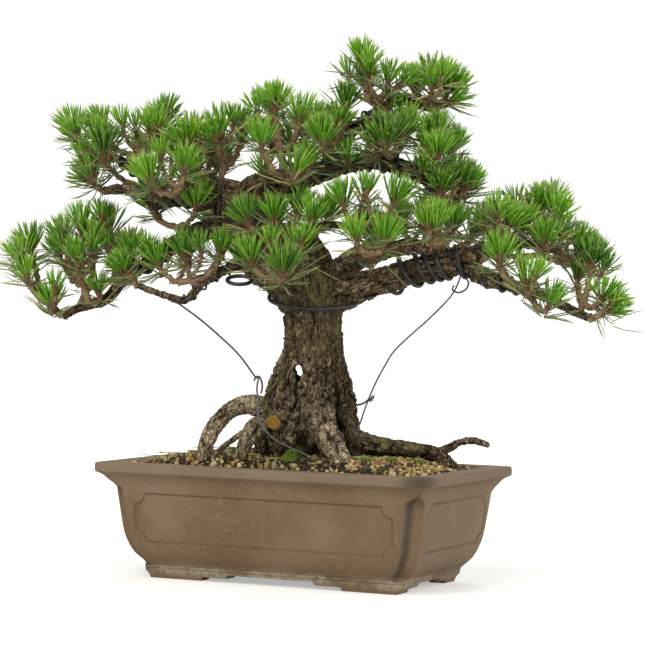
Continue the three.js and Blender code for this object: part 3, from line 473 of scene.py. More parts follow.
# Nodes of shaders and of geometry
class NodeBoard:
    """Adds nodes to a tree and joins them. A value is another node's socket, or a plain value."""

    def __init__(self, tree):
        self.tree = tree

    def add(self, kind, inputs=None, **settings):
        node = self.tree.nodes.new(kind)
        for name, value in settings.items():
            setattr(node, name, value)
        for key, value in (inputs or {}).items():
            self.feed(node.inputs[key], value)
        return node

    def feed(self, socket, value):
        """Joins or sets a socket. A plain colour is given by three numbers."""
        if isinstance(value, bpy.types.NodeSocket):
            self.tree.links.new(value, socket)
        else:
            socket.default_value = (*value, 1) if socket.type == "RGBA" else value

    def math(self, operation, first, second=0.0, clamp=False):
        return self.add("ShaderNodeMath", {0: first, 1: second}, operation=operation,
            use_clamp=clamp).outputs[0]

    def times(self, first, second):
        return self.math("MULTIPLY", first, second)

    def plus(self, first, second):
        return self.math("ADD", first, second)

    def less(self, first, second):
        return self.math("SUBTRACT", first, second)

    def spot(self):
        return self.add("ShaderNodeTexCoord").outputs["Object"]

    def seen(self):
        return self.add("ShaderNodeLightPath").outputs["Is Camera Ray"]

    def vector(self, operation, first, second=(0, 0, 0), output=0):
        return self.add("ShaderNodeVectorMath", {0: first, 1: second}, operation=operation).outputs[output]

    def scaled(self, vector, factor):
        return self.add("ShaderNodeVectorMath", {0: vector, "Scale": factor}, operation="SCALE").outputs[0]

    def noise(self, spot, scale, detail, output="Color"):
        inputs = {"Vector": spot, "Scale": scale, "Detail": detail}
        return self.add("ShaderNodeTexNoise", inputs).outputs[output]

    def red(self, colour):
        return self.add("ShaderNodeSeparateColor", {"Color": colour}).outputs["Red"]

    def step(self, value, low, high):
        """A smooth step from 0 at the low value to 1 at the high one"""
        inputs = {"Value": value, "From Min": low, "From Max": high}
        return self.add("ShaderNodeMapRange", inputs, interpolation_type="SMOOTHSTEP").outputs["Result"]

    def mix(self, share, first, second):
        """A colour between two; 6 and 7 are the mix node's colour sockets, and 2 its colour out"""
        return self.add("ShaderNodeMix", {0: share, 6: first, 7: second}, data_type="RGBA").outputs[2]

    def tinted(self, colour, *layers):
        """A colour moved towards the colour of each layer by the product of that layer's masks"""
        for tinge, *masks in layers:
            colour = self.mix(functools.reduce(self.times, masks), colour, tinge)
        return colour

    def group(self, tree, inputs):
        return self.add("ShaderNodeGroup", inputs, node_tree=tree).outputs


class TreeBoard(NodeBoard):
    """The board of a new tree. An input is given by its plain value, or by its kind of socket."""

    def __init__(self, name, kind, inputs, outputs):
        super().__init__(bpy.data.node_groups.new(name, kind))
        for label, value in inputs.items():
            kinds = {str: value, int: "Int", float: "Float", tuple: "Vector"}
            self.socket(label, "INPUT", kinds[type(value)], None if isinstance(value, str) else value)
        for label, socket_kind in outputs.items():
            self.socket(label, "OUTPUT", socket_kind)
        self.given = self.add("NodeGroupInput").outputs
        self.out = self.add("NodeGroupOutput").inputs

    def socket(self, label, way, kind, value=None):
        socket = self.tree.interface.new_socket(label, in_out=way, socket_type="NodeSocket" + kind)
        if value is not None:
            socket.default_value = value

    def end(self, **results):
        for label, value in results.items():
            self.feed(self.out[label], value)
        return self.tree


def mottle_group():
    """Broad and fine patches over the object's own place, stretched where a surface was drawn out"""
    inputs = {"Scale": 20.0, "Fine Scale": 200.0, "Stretch": (1, 1, 1)}
    board = TreeBoard("mottle", "ShaderNodeTree", inputs, {"Broad": "Float", "Fine": "Float"})
    spot = board.vector("MULTIPLY", board.spot(), board.given["Stretch"])
    return board.end(Broad=board.noise(spot, board.given["Scale"], 3.0, "Fac"),
        Fine=board.noise(spot, board.given["Fine Scale"], 4.0, "Fac"))


def pits_group():
    """Small round spots, scattered: only a share of the cells holds one"""
    inputs = {"Scale": 60.0, "Size": 0.12, "Share": 0.2}
    board = TreeBoard("pits", "ShaderNodeTree", inputs, {"Mask": "Float"})
    cells = board.add("ShaderNodeTexVoronoi", {"Scale": board.given["Scale"], "Vector": board.spot()}).outputs
    chosen = board.math("LESS_THAN", board.red(cells["Color"]), board.given["Share"])
    near = board.math("LESS_THAN", cells["Distance"], board.given["Size"])
    return board.end(Mask=board.times(chosen, near))


def cracks_group():
    inputs = {"Scale": 260.0, "Stretch": (1, 1, 0.45), "Width": 0.1}
    board = TreeBoard("cracks", "ShaderNodeTree", inputs, {"Mask": "Float", "Tone": "Float"})
    spot = board.scaled(board.vector("MULTIPLY", board.spot(), board.given["Stretch"]), board.given["Scale"])
    bend = board.vector("SUBTRACT", board.noise(spot, 0.9, 3.0), (0.5, 0.5, 0.5))
    bent = {"Vector": board.vector("ADD", spot, board.scaled(bend, 1.7)), "Scale": 1.0}
    edges = board.add("ShaderNodeTexVoronoi", bent, feature="DISTANCE_TO_EDGE").outputs["Distance"]
    cells = board.add("ShaderNodeTexVoronoi", bent).outputs["Color"]
    return board.end(Mask=board.step(edges, board.given["Width"], 0.0), Tone=board.red(cells))


def wear_group():
    inputs = {"Colour": "Color", "Dark": "Color", "Light": "Color", "Broad": 0.5, "Fine": 0.5,
        "Strength": 0.5}
    board = TreeBoard("weathering", "ShaderNodeTree", inputs, {"Colour": "Color"})
    given = board.given
    dark = given["Dark"], board.step(given["Broad"], 0.56, 0.34), given["Strength"]
    light = given["Light"], board.step(given["Fine"], 0.5, 0.72), given["Strength"]
    return board.end(Colour=board.tinted(given["Colour"], dark, light))


mottle = mottle_group()
pits = pits_group()
cracks = cracks_group()
weathering = wear_group()


class Finish(NodeBoard):
    """A material: the board of its nodes, and the inputs of its Principled shader"""

    def __init__(self, name, **constants):
        self.material = bpy.data.materials.new(name)
        self.material.use_nodes = True
        super().__init__(self.material.node_tree)
        self.shader = self.tree.nodes["Principled BSDF"].inputs
        for key, value in constants.items():
            self.feed(self.shader[key.replace("_", " ")], value)

    def end(self, colour, height, depth):
        """Feeds the colour and the bump, and gives the material"""
        self.feed(self.shader["Base Color"], colour)
        bump = self.add("ShaderNodeBump", {"Height": height, "Distance": depth, "Strength": 1.0})
        self.feed(self.shader["Normal"], bump.outputs["Normal"])
        return self.material

    def rough(self, patches, change, least):
        self.feed(self.shader["Roughness"], self.plus(self.times(patches["Fine"], change), least))

    def attribute(self, name):
        return self.add("ShaderNodeAttribute", attribute_name=name).outputs["Fac"]

    def patches(self, scale, fine_scale, stretch=(1, 1, 1)):
        return self.group(mottle, {"Scale": scale, "Fine Scale": fine_scale, "Stretch": stretch})

    def worn(self, patches, colour, dark, light, strength=0.9):
        return self.group(weathering, {"Colour": colour, "Dark": dark, "Light": light,
            "Broad": patches["Broad"], "Fine": patches["Fine"], "Strength": strength})["Colour"]


def clay_finish():
    look = Finish("unglazed_clay", Specular_IOR_Level=0.3)
    patches = look.patches(16.0, 190.0)
    drags = look.patches(60.0, 420.0, (1, 1, 0.09))
    speckle = look.group(pits, {"Scale": 900.0, "Size": 0.36, "Share": 0.3})["Mask"]
    spots = look.group(pits, {"Scale": 55.0, "Size": 0.055, "Share": 0.28})["Mask"]
    drag_share = look.plus(look.times(look.step(drags["Broad"], 0.3, 0.66), 0.25), 0.75)
    base = look.worn(patches, (0.212, 0.137, 0.077), (0.15, 0.096, 0.051), (0.29, 0.2, 0.125), 0.4)
    # The first tint paints light: the end faces and the rim's top turn greyer and paler
    colour = look.tinted(base, ((0.222, 0.166, 0.12), look.attribute("grey_clay")),
        ((0.29, 0.215, 0.15), look.step(patches["Broad"], 0.47, 0.68), 0.4),
        ((0.45, 0.39, 0.285), look.attribute("salts"), look.step(patches["Fine"], 0.24, 0.6), 0.9),
        # This dark tint is the rim's real smudge, and painted shade in the coves and along the panel and band
        # lines
        ((0.062, 0.044, 0.032), look.attribute("stain"), drag_share), ((0.34, 0.27, 0.19), speckle, 0.13),
        ((0.035, 0.025, 0.02), spots))
    look.rough(patches, 0.25, 0.55)
    height = look.plus(look.times(drags["Fine"], 0.5), patches["Fine"])
    return look.end(colour, look.less(height, look.times(spots, 2.0)), 0.00035)


def bark_finish(name, furrow, middle, ridge, pale, moss):
    """Bark by its relief: dark furrows, plates of many tones, pale ridges, lichen and moss where marked"""
    look = Finish(name, Specular_IOR_Level=0.2, Roughness=0.9)
    patches = look.patches(45.0, 520.0)
    flakes = look.patches(150.0, 900.0, (1, 1, 0.5))
    relief = look.attribute("relief")
    scales = look.group(cracks, {"Scale": 205.0, "Stretch": (1, 1, 0.5), "Width": 0.12})
    chips = look.group(cracks, {"Scale": 620.0, "Stretch": (1, 1, 0.6), "Width": 0.1})
    crack = look.math("MAXIMUM", scales["Mask"], look.times(chips["Mask"], 0.3))
    step = look.step
    colour = look.tinted(look.mix(step(relief, 0.05, 0.5), furrow, middle),
        (ridge, step(relief, 0.45, 0.95), step(flakes["Broad"], 0.36, 0.62)),
        (pale, step(look.attribute("tone"), 0.62, 1.0), step(flakes["Fine"], 0.42, 0.6),
        step(relief, 0.4, 0.8)), (furrow, step(patches["Broad"], 0.5, 0.34), 0.5),
        (pale, look.attribute("bleached"), step(relief, 0.0, 0.4), step(flakes["Broad"], 0.24, 0.52)),
        (pale, step(scales["Tone"], 0.6, 1.0), step(relief, 0.2, 0.6), 0.55),
        (furrow, step(chips["Tone"], 0.35, 0.0), 0.25), (furrow, crack, 0.58),
        ((0.25, 0.235, 0.085), look.attribute("lichen"), step(flakes["Broad"], 0.4, 0.56)),
        (moss, look.attribute("moss"), step(patches["Fine"], 0.42, 0.55)))
    height = look.plus(flakes["Broad"], look.times(flakes["Fine"], 0.6))
    height = look.plus(height, look.times(scales["Tone"], 0.35))
    return look.end(colour, look.less(height, look.times(crack, 0.8)), 0.0022)


def flecked_finish(name, colour, dark, light, scale, roughness, depth, specular=0.4, painted_trunk_shade=False):
    """A plain finish with darker patches and lighter flecks, and if asked for, painted shade near the trunk's
    foot
    """
    look = Finish(name, Specular_IOR_Level=specular)
    patches = look.patches(scale, scale * 4)
    flecked = look.worn(patches, colour, dark, light)
    if painted_trunk_shade:
        # Painted shade: the grains darken close to the trunk's foot
        offset = look.vector("SUBTRACT", look.spot(), in_metres(place([4, -22, 104])))
        away = look.vector("LENGTH", offset, output="Value")
        flecked = look.tinted(flecked, ((0.016, 0.012, 0.007), look.step(away, 0.062, 0.03), 0.8))
    look.rough(patches, 0.2, roughness)
    return look.end(flecked, patches["Fine"], depth)


def sawn_finish():
    look = Finish("sawn_wood", Specular_IOR_Level=0.25, Roughness=0.75)
    spot = look.vector("SUBTRACT", look.spot(), in_metres(place([-26, -37, 132])))
    rings = look.add("ShaderNodeTexWave", {"Vector": spot, "Scale": 95.0, "Distortion": 6.0, "Detail": 4.0},
        wave_type="RINGS", rings_direction="SPHERICAL").outputs["Fac"]
    patches = look.patches(160.0, 700.0)
    colour = look.tinted(look.mix(rings, (0.2, 0.125, 0.02), (0.3, 0.19, 0.035)),
        ((0.09, 0.06, 0.022), look.step(patches["Broad"], 0.46, 0.62)))
    return look.end(colour, look.plus(rings, patches["Fine"]), 0.0003)


def needle_finish(name, colour, dark, light, roughness):
    """A needle's green: darker and browner at its root, paler at its tip"""
    look = Finish(name, Specular_IOR_Level=0.45, Roughness=roughness)
    patches = look.patches(90.0, 360.0)
    along = look.attribute("along")
    green = look.tinted(look.worn(patches, colour, dark, light),
        ((0.12, 0.1, 0.035), look.step(along, 0.3, 0.0), 0.55),
        ((0.56, 0.64, 0.2), look.step(along, 0.72, 1.0), 0.6))
    return look.end(green, patches["Fine"], 0.00008)


NEEDLE_COLOURS = {
    "bright": ((0.175, 0.45, 0.018), (0.12, 0.35, 0.013), (0.3, 0.58, 0.055), 0.36),
    "fresh": ((0.27, 0.55, 0.034), (0.19, 0.45, 0.02), (0.43, 0.68, 0.12), 0.36),
    "mid": ((0.125, 0.335, 0.016), (0.08, 0.24, 0.011), (0.22, 0.46, 0.045), 0.38),
    "deep": ((0.06, 0.19, 0.016), (0.035, 0.12, 0.01), (0.12, 0.29, 0.035), 0.4),
    "old": ((0.22, 0.29, 0.1), (0.125, 0.185, 0.055), (0.38, 0.45, 0.21), 0.42),
    "straw": ((0.5, 0.47, 0.14), (0.34, 0.28, 0.08), (0.65, 0.6, 0.26), 0.5)
}


# Geometry trees
class GrowingBoard(TreeBoard):
    """A geometry tree that takes a geometry, these inputs and a material"""

    def __init__(self, name, **inputs):
        inputs = {label.replace("_", " "): value for label, value in inputs.items()}
        inputs = {"Geometry": "Geometry", **inputs, "Material": "Material"}
        super().__init__(name, "GeometryNodeTree", inputs, {"Geometry": "Geometry"})

    def made(self, kind, **inputs):
        inputs = {label.replace("_", " "): value for label, value in inputs.items()}
        return self.add("GeometryNode" + kind, inputs).outputs[0]

    def named(self, name, kind="FLOAT"):
        return self.add("GeometryNodeInputNamedAttribute", {"Name": name},
            data_type=kind).outputs["Attribute"]

    def drawn(self, kind, low, high, seed):
        """A random value for each point; the kinds have sockets of their own, one pair after another"""
        pair = ["FLOAT_VECTOR", "FLOAT", "INT"].index(kind)
        inputs = {2 * pair: low, 2 * pair + 1: high, "Seed": seed}
        return self.add("FunctionNodeRandomValue", inputs, data_type=kind).outputs[pair]

    def three(self, x, y, z):
        return self.add("ShaderNodeCombineXYZ", {"X": x, "Y": y, "Z": z}).outputs[0]

    def tube(self, curve, sides, radius, scale=1.0):
        section = self.made("CurvePrimitiveCircle", Resolution=sides, Radius=radius)
        return self.made("CurveToMesh", Curve=curve, Profile_Curve=section, Scale=scale, Fill_Caps=True)

    def knobbed(self, geometry, scale, height):
        """Every point pushed by noise, so that a surface turns rough"""
        noise = self.noise(self.made("InputPosition"), scale, 1.0)
        push = self.scaled(self.vector("SUBTRACT", noise, (0.5, 0.5, 0.5)), height)
        return self.made("SetPosition", Geometry=geometry, Offset=push)

    def dressed(self, geometry):
        """Every tree ends the same way: instances made real, then the material"""
        real = self.made("RealizeInstances", Geometry=geometry)
        return self.end(Geometry=self.made("SetMaterial", Geometry=real, Material=self.given["Material"]))


def round_line_tree():
    """Follows lines with a round section of each point's thickness, roughened by knobs"""
    board = GrowingBoard("round_line", Sides=6, Knob_Height=0.0, Knob_Scale=300.0)
    given = board.given
    curve = board.made("MeshToCurve", Mesh=given["Geometry"])
    tube = board.tube(curve, given["Sides"], 1.0, board.named("thickness"))
    moved = board.knobbed(tube, given["Knob Scale"], given["Knob Height"])
    return board.dressed(board.made("SetShadeSmooth", Geometry=moved))


def coil_tree():
    """Winds a wire round a limb: a helix about the limb's line, outside the limb's radius"""
    board = GrowingBoard("wire_coil", Turns=4.0, Phase=0.0, Wire_Radius=0.0016, Clearance=0.001, Points=120)
    given = board.given
    curve = board.made("MeshToCurve", Mesh=given["Geometry"])
    curve = board.made("ResampleCurve", Curve=curve, Count=given["Points"])
    angle = board.times(board.times(board.made("SplineParameter"), given["Turns"]), 2 * math.pi)
    angle = board.plus(angle, given["Phase"])
    normal = board.made("InputNormal")
    other = board.vector("CROSS_PRODUCT", board.made("InputTangent"), normal)
    way = board.vector("ADD", board.scaled(normal, board.math("COSINE", angle)),
        board.scaled(other, board.math("SINE", angle)))
    reach = board.plus(board.named("bough_radius"), given["Clearance"])
    helix = board.made("SetPosition", Geometry=curve, Offset=board.scaled(way, reach))
    return board.dressed(board.made("SetShadeSmooth", Geometry=board.tube(helix, 8, given["Wire Radius"])))


def needle_tree():
    """Grows a needle on each point, along its aim: flat inside, ridged outside, bent a little, pointed"""
    board = GrowingBoard("grow_needles", Width=0.00122, Thickness_Share=0.6, Bend=0.0016, Taper_From=0.93,
        Steps=3)
    given = board.given
    axis = board.made("CurveQuadraticBezier", Resolution=given["Steps"], Start=(0, 0, 0),
        Middle=board.three(given["Bend"], 0.0, 0.5), End=(0, 0, 1))
    along = board.made("SplineParameter")
    axis = board.made("StoreNamedAttribute", Geometry=axis, Name="along", Value=along)
    left = board.math("DIVIDE", board.less(1.0, along), board.less(1.0, given["Taper From"]), clamp=True)
    radius = board.times(board.times(given["Width"], 0.577), left)
    section = board.made("CurvePrimitiveCircle", Resolution=3, Radius=1.0)
    section = board.made("Transform", Geometry=section, Scale=board.three(1.0, given["Thickness Share"], 1.0))
    needle = board.made("CurveToMesh", Curve=axis, Profile_Curve=section, Scale=radius, Fill_Caps=True)
    needle = board.made("MergeByDistance", Geometry=needle, Distance=0.00001)
    spin = board.add("FunctionNodeAxisAngleToRotation", {"Axis": (0, 0, 1), "Angle": board.named("spin")})
    turn = board.add("FunctionNodeAlignRotationToVector",
        {"Rotation": spin.outputs[0], "Vector": board.named("aim", "FLOAT_VECTOR")}, axis="Z")
    size = board.three(board.named("girth"), board.named("girth"), board.named("size"))
    return board.dressed(board.made("InstanceOnPoints", Points=given["Geometry"], Instance=needle,
        Rotation=turn.outputs[0], Scale=size))


def grain_tree():
    """Scatters grains of one kind over a bed. Every kind shares the same places, and takes those it draws."""
    board = GrowingBoard("soil_grains", Spacing=0.004, Density=90000.0, Least_Size=0.0016, Most_Size=0.003,
        Kind=0, Kinds=4, Seed=5)
    given = board.given
    spread = board.add("GeometryNodeDistributePointsOnFaces",
        {"Mesh": given["Geometry"], "Distance Min": given["Spacing"], "Density Max": given["Density"],
        "Seed": given["Seed"]}, distribute_method="POISSON").outputs["Points"]
    kind = board.drawn("INT", 0, board.less(given["Kinds"], 1.0), given["Seed"])
    turn = board.drawn("FLOAT_VECTOR", (0, 0, 0), (6.2, 6.2, 6.2), 3)
    shape = board.drawn("FLOAT_VECTOR", (0.75, 0.65, 0.55), (1.25, 1.1, 0.95), 4)
    girth = board.drawn("FLOAT", given["Least Size"], given["Most Size"], 6)
    grown = board.made("InstanceOnPoints", Points=spread,
        Selection=board.math("COMPARE", kind, given["Kind"]),
        Instance=board.made("MeshUVSphere", Segments=6, Rings=4, Radius=1.0), Rotation=turn,
        Scale=board.scaled(shape, girth))
    return board.dressed(board.knobbed(board.made("RealizeInstances", Geometry=grown), 420.0, 0.0022))


round_line = round_line_tree()
wire_coil = coil_tree()
grow_needles = needle_tree()
soil_grains = grain_tree()


def grow(obj, tree, values, material):
    values = {**values, "Material": material}
    modifier = obj.modifiers.new(tree.name, "NODES")
    modifier.node_group = tree
    for item in tree.interface.items_tree:
        if item.in_out == "INPUT" and item.name in values:
            modifier[item.identifier] = values[item.name]
    settle(obj)
    for name in ("thickness", "bough_radius", "aim", "spin", "size", "girth"):
        if name in obj.data.attributes:
            obj.data.attributes.remove(obj.data.attributes[name])


def grow_piece(obj, tree, values, material, nodes=()):
    grow(obj, tree, values, material)
    hand_over(obj, material, nodes)


def line_object(name, lines, attribute="thickness"):
    """An object of open lines, each a pair of points and their radii in millimetres"""
    points = np.vstack([line for line, _ in lines])
    radii = np.concatenate([np.broadcast_to(radius, len(line)) for line, radius in lines])
    starts = np.cumsum([0] + [len(line) for line, _ in lines])
    edges = [(k, k + 1) for low, high in zip(starts, starts[1:]) for k in range(low, high - 1)]
    obj = link_mesh(name, points, [], edges)
    add_attributes(obj, **{attribute: radii * MM})
    return obj


# The pot
RIM_LENGTH, RIM_WIDTH, POT_HEIGHT = 300.0, 180.0, 96.0
FOOT_INSET_LONG, FOOT_INSET_SHORT = 38.0, 30.0
FOOT_HEIGHT, FOOT_STEP_HEIGHT, FOOT_BAND, BASE_THICKNESS = 6.0, 3.0, 14.0, 8.0
FOOT_LEG_LONG, FOOT_LEG_SHORT, FOOT_STEP_LONG, FOOT_STEP_SHORT = 48.0, 22.0, 72.0, 39.0
CORNER_COVE, WALL_EDGE_ROUND, CAVITY_CORNER_ROUND = 12.5, 1.5, 10.0
DRAIN_RADIUS, DRAIN_SPACING = 8.0, 90.0
BAND_LINES = (8.4, 11.4)
SALT_STRETCHES = [(-98, -42), (-14, 50), (100, 124)]
WALL_PROFILE = np.array([[0, 1], [3, 0.975], [6, 0.92], [11, 0.83], [20, 0.6], [31, 0.46], [42, 0.39],
    [61, 0.32], [75, 0.27], [80, 0.24], [84, 0.18], [86.4, 0.1], [87.6, 0.035], [88.4, 0.008], [89.4, 0],
    [92, 0], [94, 0.002], [95.2, 0.012], [95.8, 0.03], [96, 0.06]])
CAVITY_PROFILE = np.array([[14, 40], [20, 34], [31, 29.5], [42, 27], [75, 22], [96, 18]], float)
LONG_PANEL = {"half": 116.0, "low": 31.0, "high": 71.0, "notch": 9.0}
SHORT_PANEL = {"half": 62.0, "low": 34.0, "high": 73.0, "notch": 8.0}
PANEL_DEPTH, PANEL_LINE_DEPTH = 0.9, 0.5


def graded_steps(start, end, coarse, fine, zones):
    """Positions from start to end, close together in the zones where a shape needs them"""
    positions = [start]
    while positions[-1] < end:
        here = positions[-1]
        is_fine = any(low - coarse < here < high for low, high in zones)
        positions.append(min(end, here + (fine if is_fine else coarse)))
    return np.array(positions)


def halves(wall_share, inset=0.0):
    """Half the pot's length and width at a share of its wall's slope, less an inset"""
    half_length = RIM_LENGTH / 2 - FOOT_INSET_LONG * wall_share - inset
    half_width = RIM_WIDTH / 2 - FOOT_INSET_SHORT * wall_share - inset
    return np.array([half_length, half_width])


def cavity_halves(height, gap=0.0):
    return halves(0, np.interp(height, *CAVITY_PROFILE.T) + gap)


def quarter_circle(steps):
    angles = np.arange(steps + 1) / steps * math.pi / 2
    return np.stack([np.cos(angles), np.sin(angles)], 1)


def side_columns(panel, half):
    """One side's columns: close where its panel's outline runs up, and spread out towards the corners"""
    edge, notch = panel["half"], panel["notch"]
    zones = [(-edge - 1, notch - edge + 1), (edge - notch - 1, edge + 1)]
    columns = graded_steps(-edge - 3, edge + 3, 3.0, 0.55, zones)
    inner = columns * min(1.0, (half - 5) / columns[-1])
    outer = inner[-1] + (half - inner[-1]) * np.array([0.25, 0.5, 0.75])
    return np.concatenate([-outer[::-1], inner, outer])


def closed_row(half_sides, height, corner, long_side, short_side):
    """A whole row from one corner and two sides, turned half round for the rest"""
    back = np.stack(np.broadcast_arrays(long_side, half_sides[1]), 1)
    left = np.stack(np.broadcast_arrays(-half_sides[0], short_side), 1)
    half_row = np.vstack([corner, back, corner[::-1] * [-1, 1], left])
    return np.column_stack([np.vstack([half_row, -half_row]), np.full(2 * len(half_row), float(height))])


def pot_ring(half_sides, height, corner_round, cove_share):
    """One row of the pot: corners that run from a small round to a cut cove, and the sides between them"""
    circle = quarter_circle(12)
    rounded = half_sides - corner_round + corner_round * circle
    cove = half_sides - CORNER_COVE * circle[:, ::-1]
    edge = corner_round + (CORNER_COVE - corner_round) * cove_share
    panels = zip((LONG_PANEL, SHORT_PANEL), half_sides)
    sides = [side_columns(panel, half - edge)[::-1] for panel, half in panels]
    return closed_row(half_sides, height, rounded + (cove - rounded) * cove_share, *sides)


def panel_distance(aside, height, panel):
    """How far a place is outside the panel's outline, whose corners are notched by quarter rounds"""
    middle = (panel["low"] + panel["high"]) / 2
    over_end = np.abs(aside) - panel["half"]
    over_edge = np.abs(height - middle) - (panel["high"] - panel["low"]) / 2
    return np.maximum(np.maximum(over_end, over_edge), panel["notch"] - np.hypot(over_end, over_edge))


def wall_shape():
    """The rows of the pot's skin, from the foot up the wall, over the lip and down inside"""
    zones = [(7.4, 12.4), (30, 41), (61, 75), (83, 90), (93.5, 95.4)]
    heights = np.append(graded_steps(0, 95.4, 1.9, 0.55, zones), [95.65, 95.85, 96])
    insets = np.interp(heights, *SmoothLine(WALL_PROFILE).at(np.linspace(0, 1, 600)).T)
    cove = ease(7, 14, heights) * (1 - ease(74, 83, heights))
    rows = []
    for height, inset, share in zip(heights, insets, cove):
        line = sum(0.45 * bell(height - at, 0.5) for at in BAND_LINES)
        rows.append(pot_ring(halves(inset, line), height, WALL_EDGE_ROUND, share))
    for share, drop in ((0.3, 0), (0.6, 0), (0.85, 0.05), (0.95, 0.3), (1, 1.1)):
        rim_round = WALL_EDGE_ROUND + (CAVITY_CORNER_ROUND - WALL_EDGE_ROUND) * share
        rows.append(pot_ring(halves(0, 2.2 + (18 - 2.2) * share), POT_HEIGHT - drop, rim_round, 0))
    rows += [pot_ring(cavity_halves(height), height, CAVITY_CORNER_ROUND, 0)
        for height in (92, 88, 75, 60, 42, 31, 20, 14)]
    return np.array(rows), len(heights)


def stepped_outline(half_widths, round_size=2.2):
    """Outline of the stepped vault between two feet, with rounded shoulders, given by half its widths"""
    half = []
    low = -3
    for half_width, top in zip(half_widths, (FOOT_STEP_HEIGHT, FOOT_HEIGHT)):
        drop = min(round_size, top - max(low, 0))
        half.append((half_width, low))
        half += [(half_width - drop + drop * x, top - drop + drop * y) for x, y in quarter_circle(4)]
        low = top
    return half + [(-aside, height) for aside, height in reversed(half)]


def make_pot():
    rows, wall_rows = wall_shape()
    wall = rows[:wall_rows]
    noise = Noise(11)
    for axis, panel in ((1, LONG_PANEL), (0, SHORT_PANEL)):
        out = wall[..., axis]
        on_side = np.abs(out) > np.abs(out).max(axis=1, keepdims=True) - 0.01
        gap = panel_distance(wall[..., 1 - axis], wall[..., 2], panel)
        depth = PANEL_DEPTH * ease(0.7, -0.7, gap) + PANEL_LINE_DEPTH * bell(gap, 0.6)
        out -= np.sign(out) * depth * on_side
    skin = rows.reshape(-1, 3)
    skin[:, :2] *= 1 + 0.0016 * noise.layered(skin / 28, 2)[:, None]
    pot = closed_mesh("pot_clay", skin, ring_faces(len(rows), rows.shape[1]))

    length, width = halves(1)
    corners = ((-1, -3), (1, -3), (1, FOOT_HEIGHT), (-1, FOOT_HEIGHT))
    field = [(x * (length - FOOT_BAND), z) for x, z in corners]
    long_vault = stepped_outline([length - FOOT_LEG_LONG, length - FOOT_STEP_LONG])
    short_vault = stepped_outline([width - FOOT_LEG_SHORT, width - FOOT_STEP_SHORT])
    cutters = [prism(field, False, width - FOOT_BAND), prism(long_vault, False, RIM_WIDTH),
        prism(short_vault, True, RIM_LENGTH)]
    for side in (-1, 1):
        spot = np.array([side * DRAIN_SPACING / 2, 0, BASE_THICKNESS])
        cutters.append(rod(spot, (DRAIN_RADIUS, DRAIN_RADIUS), 20, 40, *np.eye(3)[:2]))
    for cutter in cutters:
        cut_away(pot, cutter)
    mark_clay(pot, noise)
    shade(pot, 38)
    hand_over(pot, clay_finish(), ["pot"])


def mark_clay(pot, noise):
    """Where the clay is salted near the foot and stained at one corner of the rim, and where light and shade
    are painted: greyer, paler end faces and rim top, and painted shade in the coves and along the panels' and
    the foot band's lines
    """
    points, normals = mesh_points(pot)
    x, y, z = points.T
    from_end, from_side = halves(np.interp(z, *WALL_PROFILE.T)) - np.abs([x, y])
    # The dark lines along the panels' outlines and in the foot band's grooves are painted shade
    panel_line = np.zeros(len(points))
    for along, out, panel in ((x, normals[:, 1], LONG_PANEL), (y, normals[:, 0], SHORT_PANEL)):
        line = bell(panel_distance(along, z, panel), 1.0) * (np.abs(out) > 0.6)
        panel_line = np.maximum(panel_line, line)
    band_line = sum(bell(z - at, 0.55) for at in BAND_LINES)
    band_line *= 0.45 * ease(0.1, 0.3, np.abs(normals[:, :2]).max(axis=1))
    panel_line *= 0.55 * ease(86, 80, z) * (0.5 + 0.6 * ease(-0.5, 0.4, noise.layered(points / 34, 2)))
    blotches = 0.5 + 0.5 * noise.layered(points / 16, 3)
    # Painted shade in the corner coves, strongest at the near right corner
    turn = np.arctan2(from_side, from_end)
    cove_stain = bell(turn - 0.6, 0.42) - 0.3 * bell(turn - 1.02, 0.1)
    cove_stain *= ease(CORNER_COVE + 5, CORNER_COVE, np.hypot(from_end, from_side)) * ease(5, 22, z)
    cove_stain *= ease(87, 77, z) * (0.6 + 0.4 * blotches) * np.where((x > 0) & (y < 0), 1.15, 0.3)
    smudge = 1.2 * bell(x - 143, 12) * bell(y + 88, 14) * ease(87, 90, z)
    stretches = [ease(low - 8, low, x) * ease(high + 8, high, x) for low, high in SALT_STRETCHES]
    salted = np.maximum(np.max(stretches, axis=0) * (y < 0), 0.35) * ease(2, 5, z) * ease(14, 10.5, z)
    # Painted light: the end faces and the rim's top are tinted greyer and paler, as the light falls on them
    is_end = ease(0.5, 0.8, np.abs(normals[:, 0])) * ease(86, 80, z)
    # The dark tint holds the rim's real smudge and the painted shade of the coves, the panels' lines and the
    # band's lines
    stain = np.clip(cove_stain + smudge + panel_line + band_line, 0, 1)
    grey = np.clip(0.55 * is_end + 0.85 * ease(86, 89, z), 0, 1)
    add_attributes(pot, stain=stain, salts=salted * ease(0.3, 0.5, blotches + 0.12), grey_clay=grey)


# Soil and what lies on it
SOIL_EDGE_HEIGHT, GROUND_HEIGHT, CLEAR_GAP = 91.0, 104.0, 0.35
MOUND_SHARES = [0, 0.08, 0.16, 0.3, 1]
MOUND_HEIGHTS = [SOIL_EDGE_HEIGHT, 95.6, 98.4, 102.6, GROUND_HEIGHT]
SOIL_EDGE = cavity_halves(SOIL_EDGE_HEIGHT, CLEAR_GAP)


